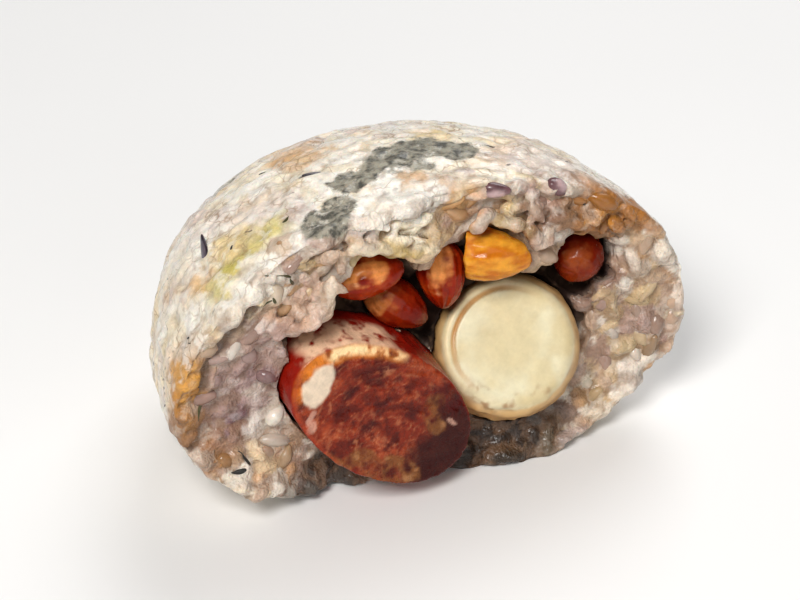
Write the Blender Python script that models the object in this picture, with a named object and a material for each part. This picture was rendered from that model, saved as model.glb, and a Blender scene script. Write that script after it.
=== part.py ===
"""One cut half of a filled sticky rice roll: rice, a fat sausage, a peeled chestnut and five peanuts.

Run with: blender --background --python part.py
Units are metres and +Z is up. The roll is modelled with its widest section on the plane Y = 0, its
cut face towards -Y and its flat base on Z = 0. At the end everything is hung on one empty, which puts
the origin under the middle of the whole.
"""
import math

import bmesh
import bpy
from mathutils import Euler, Matrix, Vector, noise

# ---- driving dimensions of the roll
HALF_WIDTH = 0.0481          # along X, at the widest level
HALF_LENGTH = 0.0550         # from the widest section to the round back end
HEIGHT_ABOVE = 0.0340        # crown above the widest level
HEIGHT_BELOW = 0.0246        # full depth below the widest level, before it settled
SETTLED_SHARE = 0.93         # share of that depth left above the flat base
HEEL_SAG = 0.16              # how much fuller the underside is behind the widest section
HEEL_RUN = 1.6               # how soon behind that section it is fully sagged
SQUARENESS = 2.12            # 2 would be an ellipsoid
WAIST_LEVEL = HEIGHT_BELOW * SETTLED_SHARE

# ---- cut face
CUT_OFFSET = -0.0050         # cut plane at base level, in front of the widest section
CUT_LEAN = 0.058             # how far the cut leans back for each metre of height
DISH_DEPTH = 0.0030          # the torn wall falls back by this much towards the hollow
DISH_RIM, DISH_FLOOR = 0.98, 0.66    # shares of the section's radius where that fall starts and ends
TEAR_DEPTH = 0.0011          # roughness of the torn rice
TEAR_SIZE = 0.0085           # size of its clumps
TEAR_SEED = 3.7              # where in the noise field the clumps are read
FINE_TEAR_SHARE, FINE_TEAR_SIZE = 0.5, 0.45    # smaller lumps on the clumps, as shares of them
CUT_GRID = (32, 21)          # squares across and up the cut face
CUT_SPAN = (0.112, 0.072)    # width and height of the cutting block
CUT_MIDDLE = 0.0288          # height of its middle
CUT_REACH = 0.065            # how far it reaches in front of the cut

# ---- outer skin
SKIN_RINGS, SKIN_SEGMENTS = 32, 52
SKIN_LUMPS = ((0.00055, 0.021), (0.00030, 0.010))    # height and size of the swells in the skin
SKIN_SEED = 1.3

GAP = 0.00032                # clearance between pieces that touch
CREASE = math.radians(40.0)  # edges sharper than this are not shaded smooth

RICE_TONE = (0.80, 0.73, 0.62, 1.0)
SAUSAGE_TONE = (0.38, 0.075, 0.035, 1.0)
CHESTNUT_TONE = (0.80, 0.62, 0.34, 1.0)
PEANUT_TONE = (0.30, 0.05, 0.018, 1.0)
KERNEL_TONE = (0.72, 0.30, 0.06, 1.0)


# ---- helpers
def clear_scene():
    """Take away whatever the file opened with."""
    for old in list(bpy.data.objects):
        bpy.data.objects.remove(old, do_unlink=True)


def new_collection(name):
    made = bpy.data.collections.new(name)
    bpy.context.scene.collection.children.link(made)
    return made


def food_material(name, tone, roughness):
    made = bpy.data.materials.new(name)
    made.use_nodes = True
    shader = made.node_tree.nodes["Principled BSDF"]
    shader.inputs["Base Color"].default_value = tone
    shader.inputs["Roughness"].default_value = roughness
    shader.inputs["Metallic"].default_value = 0.0
    return made


def add_object(name, shape, collection, material=None):
    """Turn a bmesh into a smooth-shaded object of the given collection."""
    bmesh.ops.recalc_face_normals(shape, faces=shape.faces)
    mesh = bpy.data.meshes.new(name)
    shape.to_mesh(mesh)
    shape.free()
    mesh.shade_smooth()
    mesh.set_sharp_from_angle(angle=CREASE)
    made = bpy.data.objects.new(name, mesh)
    collection.objects.link(made)
    if material is not None:
        mesh.materials.append(material)
    return made


def ease(share):
    """Smooth step from 0 to 1."""
    share = min(max(share, 0.0), 1.0)
    return share * share * (3.0 - 2.0 * share)


def clumps(point, size, seed):
    """Smooth uneven field between about -1 and 1, with bumps of the given size."""
    return noise.noise(Vector(point) / size + Vector((seed, 2.0 * seed, -seed)))


def unit_sphere(segments, rings, pole="Z"):
    shape = bmesh.new()
    bmesh.ops.create_uvsphere(shape, u_segments=segments, v_segments=rings, radius=1.0)
    if pole == "Y":
        turn = Matrix.Rotation(math.radians(-90.0), 4, "X")
        bmesh.ops.transform(shape, matrix=turn, verts=shape.verts)
    if pole == "X":
        turn = Matrix.Rotation(math.radians(90.0), 4, "Y")
        bmesh.ops.transform(shape, matrix=turn, verts=shape.verts)
    return shape


def slice_off(shape, point, normal):
    """Cut the shape flat at a plane, on the side the normal points to, and close it again."""
    everything = shape.verts[:] + shape.edges[:] + shape.faces[:]
    bmesh.ops.bisect_plane(shape, geom=everything, dist=1e-7, plane_co=point, plane_no=normal,
                           clear_outer=True)
    rim = [edge for edge in shape.edges if edge.is_boundary]
    return bmesh.ops.contextual_create(shape, geom=rim)["faces"]


def place(shape, centre, turn):
    """Turn the shape by Euler angles in degrees and move it to its centre."""
    angles = Euler([math.radians(angle) for angle in turn], "XYZ")
    seat = Matrix.Translation(centre) @ angles.to_matrix().to_4x4()
    bmesh.ops.transform(shape, matrix=seat, verts=shape.verts)


# ---- rice
def skin_point(ray):
    """Point of the outer skin in the direction of a unit vector from the roll's middle."""
    depth = HEIGHT_BELOW * (1.0 + HEEL_SAG * ease(ray.y * HEEL_RUN))
    height = HEIGHT_ABOVE if ray.z > 0.0 else depth
    reach = sum(abs(share) ** SQUARENESS for share in ray) ** (-1.0 / SQUARENESS)
    swell = 1.0
    for lift, size in SKIN_LUMPS:
        swell += lift / HALF_WIDTH * clumps(ray * HALF_WIDTH, size, SKIN_SEED)
    stretched = Vector((ray.x * HALF_WIDTH, ray.y * HALF_LENGTH, ray.z * height))
    return stretched * reach * swell + Vector((0.0, 0.0, WAIST_LEVEL))


def rice_body():
    """Closed oval roll with a flat base, before it is cut."""
    shape = unit_sphere(SKIN_SEGMENTS, SKIN_RINGS, pole="Y")
    for vert in shape.verts:
        vert.co = skin_point(vert.co.normalized())
    slice_off(shape, Vector((0.0, 0.0, 0.0)), Vector((0.0, 0.0, -1.0)))
    return shape


def section_share(x, z):
    """Place in the widest section: 0 in its middle and 1 at the skin."""
    height = HEIGHT_ABOVE if z > WAIST_LEVEL else HEIGHT_BELOW
    across, up = abs(x) / HALF_WIDTH, abs(z - WAIST_LEVEL) / height
    return (across ** SQUARENESS + up ** SQUARENESS) ** (1.0 / SQUARENESS)


# clumps that stand out of the cut, or pits if negative: x, z, radius, how far forward
CLUMPS = (
    (-0.033, 0.008, 0.008, 0.0014),
    (-0.018, -0.001, 0.010, -0.0048),
    (-0.046, 0.020, 0.011, -0.0034),
    (0.017, 0.002, 0.011, 0.0022),
    (-0.026, 0.033, 0.006, 0.0012),
    (-0.004, 0.046, 0.005, 0.0010),
    (0.019, 0.042, 0.005, 0.0012),
)


def torn_depth(x, z):
    """Y of the torn rice at a place on the cut face."""
    depth = CUT_OFFSET + CUT_LEAN * z
    depth += DISH_DEPTH * ease((DISH_RIM - section_share(x, z)) / (DISH_RIM - DISH_FLOOR))
    depth += TEAR_DEPTH * clumps((x, z, 0.0), TEAR_SIZE, TEAR_SEED)
    fine = clumps((x, 0.0, z), FINE_TEAR_SIZE * TEAR_SIZE, TEAR_SEED)
    depth += FINE_TEAR_SHARE * TEAR_DEPTH * fine
    for clump_x, clump_z, radius, forward in CLUMPS:
        away = math.hypot(x - clump_x, z - clump_z) / radius
        depth -= forward * math.exp(-away * away)
    return depth


def cutting_block():
    """Block in front of the roll, whose back is the torn face."""
    shape = bmesh.new()
    across, up = CUT_GRID
    bmesh.ops.create_grid(shape, x_segments=across, y_segments=up, size=0.5)
    for vert in shape.verts:
        x, z = vert.co.x * CUT_SPAN[0], vert.co.y * CUT_SPAN[1] + CUT_MIDDLE
        vert.co = Vector((x, torn_depth(x, z), z))
    front = bmesh.ops.extrude_face_region(shape, geom=shape.faces[:])["geom"]
    for part in front:
        if isinstance(part, bmesh.types.BMVert):
            part.co.y = CUT_OFFSET - CUT_REACH
    return shape


# rounded hollows that the fillings left in the rice: centre, radii and turn in degrees
HOLLOWS = {
    "sausage_hollow": ((-0.0165, -0.0025, 0.0306), (0.0127, 0.0095, 0.0060), (0.0, 14.0, 0.0)),
    "peanut_hollow": ((-0.0095, -0.0025, 0.0368), (0.0110, 0.0100, 0.0094), (0.0, 4.0, 0.0)),
    "middle_hollow": ((0.0016, -0.0025, 0.0315), (0.0082, 0.0110, 0.0098), (0.0, 20.0, 0.0)),
    "kernel_hollow": ((0.0083, -0.0030, 0.0392), (0.0098, 0.0075, 0.0086), (0.0, 8.0, 0.0)),
    "chestnut_hollow": ((0.0150, -0.0030, 0.0230), (0.0165, 0.0115, 0.0148), (0.0, 6.0, 0.0)),
    "right_hollow": ((0.0285, -0.0025, 0.0328), (0.0082, 0.0100, 0.0076), (0.0, 20.0, 0.0)),
}
HOLLOW_SEGMENTS, HOLLOW_RINGS = 20, 12
HOLLOW_UNEVEN, HOLLOW_LUMP = 0.07, 0.55    # depth and size of their dents, as shares of the radius
SEED_SPREAD = 900.0          # turns a length in metres into a seed of its own


def hollow(centre, radii, turn):
    shape = unit_sphere(HOLLOW_SEGMENTS, HOLLOW_RINGS, pole="Y")
    for vert in shape.verts:
        dent = 1.0 + HOLLOW_UNEVEN * clumps(vert.co, HOLLOW_LUMP, SEED_SPREAD * radii[0])
        vert.co = Vector([share * radius * dent for share, radius in zip(vert.co, radii)])
    place(shape, Vector(centre), turn)
    return shape


# ---- sausage
SAUSAGE_WIDE, SAUSAGE_THICK = 0.0185, 0.0113    # half sizes of its flattened section
SAUSAGE_ROLL = 36.0                             # its wide side slopes down to the right, degrees
SAUSAGE_CENTRE = (-0.0122, 0.0060, 0.0180)
SAUSAGE_HALF_LENGTH = 0.0320
SAUSAGE_BEND = 2.2                              # sideways curve, metres for each square metre
SAUSAGE_RISE = 0.05
SAUSAGE_FACE = -0.0101                          # its cut, at base level
SAUSAGE_FACE_LEAN = 0.23
SAUSAGE_CROWN = 0.0011                          # how far the cut meat bulges in the middle
SAUSAGE_FACE_ROUGH, SAUSAGE_FACE_LUMP = 0.0005, 0.007    # depth and size of the dents in the cut
SAUSAGE_FACE_SEED = 8.2
SAUSAGE_FACE_SPAN, SAUSAGE_FACE_GRID = 0.060, 14
SAUSAGE_BLUNT = 3.2                             # 2 would give a round end, more a blunter one
SAUSAGE_UNEVEN, SAUSAGE_LUMP = 0.035, 0.6       # depth and size of its swells, as shares
SAUSAGE_SEED = 5.1
SAUSAGE_SEGMENTS, SAUSAGE_RINGS = 26, 18


def sausage_body():
    """Flattened sausage with a round back end and an uneven, slightly bulging cut."""
    shape = unit_sphere(SAUSAGE_SEGMENTS, SAUSAGE_RINGS, pole="Y")
    for vert in shape.verts:
        ray = vert.co.normalized()
        across, along = math.hypot(ray.x, ray.z), abs(ray.y)
        reach = (across ** SAUSAGE_BLUNT + along ** SAUSAGE_BLUNT) ** (-1.0 / SAUSAGE_BLUNT)
        uneven = 1.0 + SAUSAGE_UNEVEN * clumps(ray, SAUSAGE_LUMP, SAUSAGE_SEED)
        vert.co = Vector((ray.x * SAUSAGE_WIDE * uneven, ray.y * SAUSAGE_HALF_LENGTH,
                          ray.z * SAUSAGE_THICK * uneven)) * reach
    place(shape, Vector(SAUSAGE_CENTRE), (0.0, SAUSAGE_ROLL, 0.0))
    for vert in shape.verts:
        behind = vert.co.y - CUT_OFFSET
        vert.co.x -= SAUSAGE_BEND * behind * behind
        vert.co.z += SAUSAGE_RISE * behind
    return shape


def sausage_face_block():
    """Block in front of the sausage, whose back is the sausage's cut."""
    shape = bmesh.new()
    bmesh.ops.create_grid(shape, x_segments=SAUSAGE_FACE_GRID, y_segments=SAUSAGE_FACE_GRID, size=0.5)
    for vert in shape.verts:
        across, up = vert.co.x * SAUSAGE_FACE_SPAN, vert.co.y * SAUSAGE_FACE_SPAN
        x, z = SAUSAGE_CENTRE[0] + across, SAUSAGE_CENTRE[2] + up
        away = math.hypot(across, up) / SAUSAGE_WIDE
        depth = SAUSAGE_FACE + SAUSAGE_FACE_LEAN * z - SAUSAGE_CROWN * max(0.0, 1.0 - away * away)
        depth += SAUSAGE_FACE_ROUGH * clumps((x, 0.0, z), SAUSAGE_FACE_LUMP, SAUSAGE_FACE_SEED)
        vert.co = Vector((x, depth, z))
    front = bmesh.ops.extrude_face_region(shape, geom=shape.faces[:])["geom"]
    for part in front:
        if isinstance(part, bmesh.types.BMVert):
            part.co.y = SAUSAGE_FACE - CUT_REACH
    return shape


# ---- chestnut
CHESTNUT_RADIUS = 0.0133
CHESTNUT_DEPTH = 0.0108         # half its thickness, front to back
CHESTNUT_FACE_RADIUS = 0.0108   # of the flat cut
CHESTNUT_CENTRE = (0.0146, 0.0022, 0.0195)
CHESTNUT_TURN = (54.0, 0.0, -17.0)    # turns its cut from facing up to facing forward and up
CHESTNUT_RIM = 0.0007           # rounding round the cut
CHESTNUT_SEGMENTS, CHESTNUT_RINGS = 30, 15
CHESTNUT_UNEVEN, CHESTNUT_LUMP = 0.018, 0.7    # depth and size of its dents, as shares
CHESTNUT_SEED = 2.4


def chestnut_body():
    """Round nut, wider than thick, with a flat cut and a softly rounded rim."""
    shape = unit_sphere(CHESTNUT_SEGMENTS, CHESTNUT_RINGS)
    for vert in shape.verts:
        dent = 1.0 + CHESTNUT_UNEVEN * clumps(vert.co, CHESTNUT_LUMP, CHESTNUT_SEED)
        vert.co = Vector((vert.co.x * CHESTNUT_RADIUS, vert.co.y * CHESTNUT_RADIUS,
                          vert.co.z * CHESTNUT_DEPTH)) * dent
    level = CHESTNUT_DEPTH * math.sqrt(1.0 - (CHESTNUT_FACE_RADIUS / CHESTNUT_RADIUS) ** 2)
    cut = slice_off(shape, Vector((0.0, 0.0, level)), Vector((0.0, 0.0, 1.0)))
    rim = list(cut[0].edges)
    bmesh.ops.bevel(shape, geom=rim, offset=CHESTNUT_RIM, segments=2, profile=0.5, affect="EDGES",
                    clamp_overlap=True)
    place(shape, Vector(CHESTNUT_CENTRE), CHESTNUT_TURN)
    return shape


# ---- peanuts: centre, half sizes and turn in degrees; the point of each nut is at its local +X end
PEANUTS = {
    "peanut_left": ((-0.0109, 0.0038, 0.0403), (0.0064, 0.0040, 0.0039), (0.0, -12.0, -19.0)),
    "peanut_lower": ((-0.0048, 0.0053, 0.0320), (0.0064, 0.0042, 0.0041), (0.0, 36.0, -28.0)),
    "peanut_middle": ((0.0030, 0.0042, 0.0366), (0.0062, 0.0042, 0.0041), (0.0, 68.0, -106.0)),
    "peanut_right": ((0.0298, 0.0045, 0.0337), (0.0056, 0.0044, 0.0044), (0.0, -10.0, 60.0)),
}
KERNEL = ((0.0100, 0.0004, 0.0408), (0.0078, 0.0043, 0.0048), (0.0, 5.0, -30.0))
KERNEL_SLICE = -0.0036          # where the kernel's blunt left end is cut, from its centre
KERNEL_SLICE_NORMAL = (-1.0, 0.0, -0.10)
NUT_SEGMENTS, NUT_RINGS = 16, 10
NUT_TAPER, NUT_POINT = 0.20, 0.10    # how much a nut narrows towards its point, evenly and at the end
NUT_UNEVEN, NUT_LUMP = 0.035, 0.6    # depth and size of its dents, as shares


def peanut_body(centre, sizes, turn, blunt_end=None):
    """Nut with one round and one pointed end; blunt_end cuts the round end off flat."""
    shape = unit_sphere(NUT_SEGMENTS, NUT_RINGS, pole="X")
    for vert in shape.verts:
        along = vert.co.x
        taper = 1.0 - NUT_TAPER * along - NUT_POINT * max(0.0, along) ** 3
        dent = 1.0 + NUT_UNEVEN * clumps(vert.co, NUT_LUMP, SEED_SPREAD * centre[0])
        vert.co = Vector((along * sizes[0], vert.co.y * sizes[1] * taper * dent,
                          vert.co.z * sizes[2] * taper * dent))
    if blunt_end is not None:
        slice_off(shape, Vector((blunt_end, 0.0, 0.0)), Vector(KERNEL_SLICE_NORMAL))
    place(shape, Vector(centre), turn)
    return shape


# ---- pockets
def seat_cutter(filling, name, cutters):
    """Cutter for the seat of a filling: the filling itself, grown by the clearance."""
    shape = bmesh.new()
    depsgraph = bpy.context.evaluated_depsgraph_get()
    shape.from_object(filling, depsgraph)
    bmesh.ops.remove_doubles(shape, verts=shape.verts, dist=1e-6)
    bmesh.ops.recalc_face_normals(shape, faces=shape.faces)
    shape.normal_update()
    moved = [vert.co + vert.normal * GAP * vert.calc_shell_factor() for vert in shape.verts]
    for vert, seat in zip(shape.verts, moved):
        vert.co = seat
    return add_object(name, shape, cutters)


def subtract(target, cutters):
    """Cut every object of a collection out of the target, and hide them."""
    cut = target.modifiers.new("cut_" + target.name, "BOOLEAN")
    cut.operation = "DIFFERENCE"
    cut.solver = "EXACT"
    cut.operand_type = "COLLECTION"
    cut.collection = cutters
    for cutter in cutters.objects:
        cutter.hide_render = True
        cutter.display_type = "WIRE"


def hang_on_origin(pieces):
    """Hang the pieces on one empty, placed so that the world origin is under their middle."""
    corners = []
    for piece in pieces:
        evaluated = piece.evaluated_get(bpy.context.evaluated_depsgraph_get())
        corners += [vert.co for vert in evaluated.data.vertices]
    middle_x = (min(co.x for co in corners) + max(co.x for co in corners)) / 2.0
    middle_y = (min(co.y for co in corners) + max(co.y for co in corners)) / 2.0
    origin = bpy.data.objects.new("roll_origin", None)
    bpy.context.scene.collection.objects.link(origin)
    origin.location = (-middle_x, -middle_y, 0.0)
    return origin


def main():
    clear_scene()
    pieces = new_collection("sticky_rice_roll")
    sausage_cutters = new_collection("sausage_cutters")
    rice_cutters = new_collection("rice_cutters")

    chestnut = add_object("chestnut", chestnut_body(), pieces,
                          food_material("chestnut_flesh", CHESTNUT_TONE, 0.45))
    sausage = add_object("sausage", sausage_body(), pieces,
                         food_material("sausage_meat", SAUSAGE_TONE, 0.35))
    add_object("sausage_face", sausage_face_block(), sausage_cutters)
    seat_cutter(chestnut, "chestnut_dent", sausage_cutters)
    subtract(sausage, sausage_cutters)
    fillings = [sausage, chestnut]
    skin = food_material("peanut_skin", PEANUT_TONE, 0.28)
    for name, (centre, sizes, turn) in PEANUTS.items():
        fillings.append(add_object(name, peanut_body(centre, sizes, turn), pieces, skin))
    kernel = peanut_body(*KERNEL, blunt_end=KERNEL_SLICE)
    fillings.append(add_object("peanut_kernel", kernel, pieces,
                               food_material("peanut_flesh", KERNEL_TONE, 0.25)))

    rice = add_object("rice", rice_body(), pieces, food_material("cooked_rice", RICE_TONE, 0.45))
    add_object("cut_face", cutting_block(), rice_cutters)
    for name, (centre, radii, turn) in HOLLOWS.items():
        add_object(name, hollow(centre, radii, turn), rice_cutters)
    for filling in fillings:
        seat_cutter(filling, filling.name + "_seat", rice_cutters)
    subtract(rice, rice_cutters)
    bpy.context.view_layer.update()

    origin = hang_on_origin([rice] + fillings)
    for made in [*pieces.objects, *sausage_cutters.objects, *rice_cutters.objects]:
        made.parent = origin


main()
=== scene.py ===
"""Looks of one cut half of a filled sticky rice roll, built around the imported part.

The rice is one core with the relief of packed grains, and real grains, beans, flakes and shreds lie
on it. The sausage, the chestnut and the peanuts are finely modelled copies of their solids. Lengths
are metres in the part's frame; places on the rice are given in millimetres from its datum, the point
under the middle of its front edge.
"""
import logging
import math
from dataclasses import dataclass, field, fields
from enum import Enum
from itertools import product

import bmesh
import bpy
import numpy as np
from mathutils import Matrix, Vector
from mathutils.bvhtree import BVHTree
from mathutils.kdtree import KDTree


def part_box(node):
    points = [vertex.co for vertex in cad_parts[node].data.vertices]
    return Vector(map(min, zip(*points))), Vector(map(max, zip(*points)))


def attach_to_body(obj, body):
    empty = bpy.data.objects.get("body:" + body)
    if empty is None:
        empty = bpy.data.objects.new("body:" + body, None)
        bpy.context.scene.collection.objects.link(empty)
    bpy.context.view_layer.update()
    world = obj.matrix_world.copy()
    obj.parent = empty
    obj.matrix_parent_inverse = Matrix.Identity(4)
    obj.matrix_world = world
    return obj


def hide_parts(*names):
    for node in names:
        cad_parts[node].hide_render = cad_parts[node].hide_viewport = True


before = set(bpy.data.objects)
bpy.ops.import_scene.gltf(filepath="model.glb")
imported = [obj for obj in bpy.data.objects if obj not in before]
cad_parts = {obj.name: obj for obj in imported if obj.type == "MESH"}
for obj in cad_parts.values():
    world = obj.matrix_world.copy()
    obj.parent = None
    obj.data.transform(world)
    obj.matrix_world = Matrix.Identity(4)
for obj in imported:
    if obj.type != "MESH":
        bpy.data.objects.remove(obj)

Array = np.ndarray
Triple = tuple[float, float, float]
Faces = list[tuple[int, ...]]
Piece = bpy.types.Object
Mesh = bpy.types.Mesh
Material = bpy.types.Material
Tree = bpy.types.NodeTree
Node = bpy.types.Node
Socket = bpy.types.NodeSocket

log = logging.getLogger("sticky_rice_roll")
MM = 0.001
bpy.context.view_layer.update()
GRAIN_FLATNESS = 0.86
OUTPUT_KINDS = {"Colour": "NodeSocketColor", "Roughness": "NodeSocketFloat",
                "Normal": "NodeSocketVector"}


# ---- tints
class Tint(Enum):
    """Colours of the rice and of what is pressed into it, linear."""

    WHITE = (0.88, 0.83, 0.74)
    CREAM = (0.76, 0.58, 0.29)
    PINK = (0.69, 0.52, 0.46)
    GREY = (0.86, 0.80, 0.70)
    MAUVE = (0.40, 0.27, 0.25)
    PURPLE = (0.13, 0.055, 0.075)
    AMBER = (0.60, 0.28, 0.045)
    ORANGE = (0.38, 0.145, 0.022)
    OLIVE = (0.50, 0.35, 0.10)
    GREENS = (0.56, 0.46, 0.09)
    LEAF = (0.13, 0.12, 0.08)
    TAN = (0.27, 0.135, 0.062)
    SHADED = (0.026, 0.013, 0.007)
    # painted shade deep in the hollows between the fillings
    SOAKED = (0.012, 0.004, 0.003)
    FAWN = (0.54, 0.38, 0.27)
    SPECK = (0.17, 0.11, 0.09)
    # painted shade in the cracks
    CRACK = (0.07, 0.045, 0.03)
    BROWNED = (0.36, 0.23, 0.13)
    BLACK_GRAIN = (0.018, 0.008, 0.014)
    # painted sheen down the middle of the black grains
    WORN_GRAIN = (0.13, 0.11, 0.13)
    BEAN = (0.13, 0.060, 0.065)
    BEAN_EYE = (0.52, 0.36, 0.36)
    DARK_SHRED = (0.016, 0.014, 0.012)
    GREEN_SHRED = (0.060, 0.055, 0.020)


class MeatTint(Enum):
    """Colours of the sausage, linear."""

    RED = (0.20, 0.024, 0.008)
    ROSY = (0.36, 0.080, 0.032)
    DEEP = (0.075, 0.004, 0.002)
    STRAND = (0.60, 0.30, 0.19)
    THREAD = (0.64, 0.36, 0.26)
    DARK = (0.045, 0.002, 0.001)
    SHADED = (0.034, 0.002, 0.001)
    MAROON = (0.085, 0.004, 0.004)
    CASING = (0.26, 0.008, 0.003)
    WARM_CASING = (0.34, 0.050, 0.014)
    # painted highlight on the wet casing
    WET_CASING = (0.88, 0.58, 0.38)
    TAN = (0.21, 0.072, 0.018)
    PALE_TAN = (0.44, 0.20, 0.08)
    ORANGE = (0.66, 0.19, 0.015)
    YELLOW = (0.98, 0.72, 0.38)
    FAT = (0.70, 0.56, 0.42)
    PALE = (0.68, 0.38, 0.28)
    RIM = (0.36, 0.045, 0.012)


class NutTint(Enum):
    """Colours of the chestnut, the peanuts and the kernel, linear."""

    FACE = (0.66, 0.56, 0.33)
    PALE_FACE = (0.74, 0.68, 0.47)
    DEEP_FACE = (0.55, 0.44, 0.22)
    RIM = (0.60, 0.44, 0.21)
    BROWN_SPOT = (0.33, 0.17, 0.07)
    FLANK = (0.45, 0.25, 0.09)
    # painted highlight on the chestnut's flank near the cut
    PALE_FLANK = (0.70, 0.45, 0.19)
    BROWN_FLANK = (0.36, 0.19, 0.085)
    # painted highlight along the chestnut's lip
    LIP = (0.86, 0.66, 0.36)
    LINE = (0.44, 0.19, 0.022)
    SKIN = (0.23, 0.011, 0.001)
    BRIGHT_SKIN = (0.36, 0.040, 0.004)
    DARK_SKIN = (0.14, 0.004, 0.001)
    # painted light on the peanuts' lit side, and pale painted highlight spots in it
    WORN_SKIN = (0.78, 0.30, 0.08)
    BARE = (0.86, 0.55, 0.28)
    SKIN_END = (0.12, 0.006, 0.001)
    KERNEL = (0.54, 0.15, 0.006)
    KERNEL_GOLD = (0.76, 0.34, 0.030)
    KERNEL_BROWN = (0.42, 0.085, 0.004)
    KERNEL_SKIN = (0.16, 0.012, 0.003)


@dataclass(frozen=True)
class Cloud:
    """Soft clouds of a tint: their size in millimetres, and how noise becomes their share."""

    tint: Tint
    size: float
    seed: int
    offset: float
    gain: float
    most: float


SKIN_CLOUDS: tuple[Cloud, ...] = (
    Cloud(Tint.CREAM, 9.0, 3, 0.15, 1.5, 0.65),
    Cloud(Tint.PINK, 7.0, 5, 0.10, 1.7, 0.60),
    Cloud(Tint.WHITE, 4.5, 8, 0.05, 2.4, 0.90),
    Cloud(Tint.AMBER, 5.0, 9, -0.65, 2.2, 0.50),
)
CUT_CLOUDS: tuple[Cloud, ...] = (
    Cloud(Tint.MAUVE, 6.0, 11, 0.25, 1.0, 0.60),
    Cloud(Tint.OLIVE, 5.0, 13, 0.0, 1.8, 0.45),
    Cloud(Tint.TAN, 4.0, 15, 0.0, 1.9, 0.60),
)


@dataclass(frozen=True)
class Stain:
    """A soft-edged patch of colour in the rice.

    The place is millimetres across, back and up from the rice's datum, and the radius millimetres.
    """

    tint: Tint
    place: Triple
    radius: float
    strength: float
    ragged: float = 0.6


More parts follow.
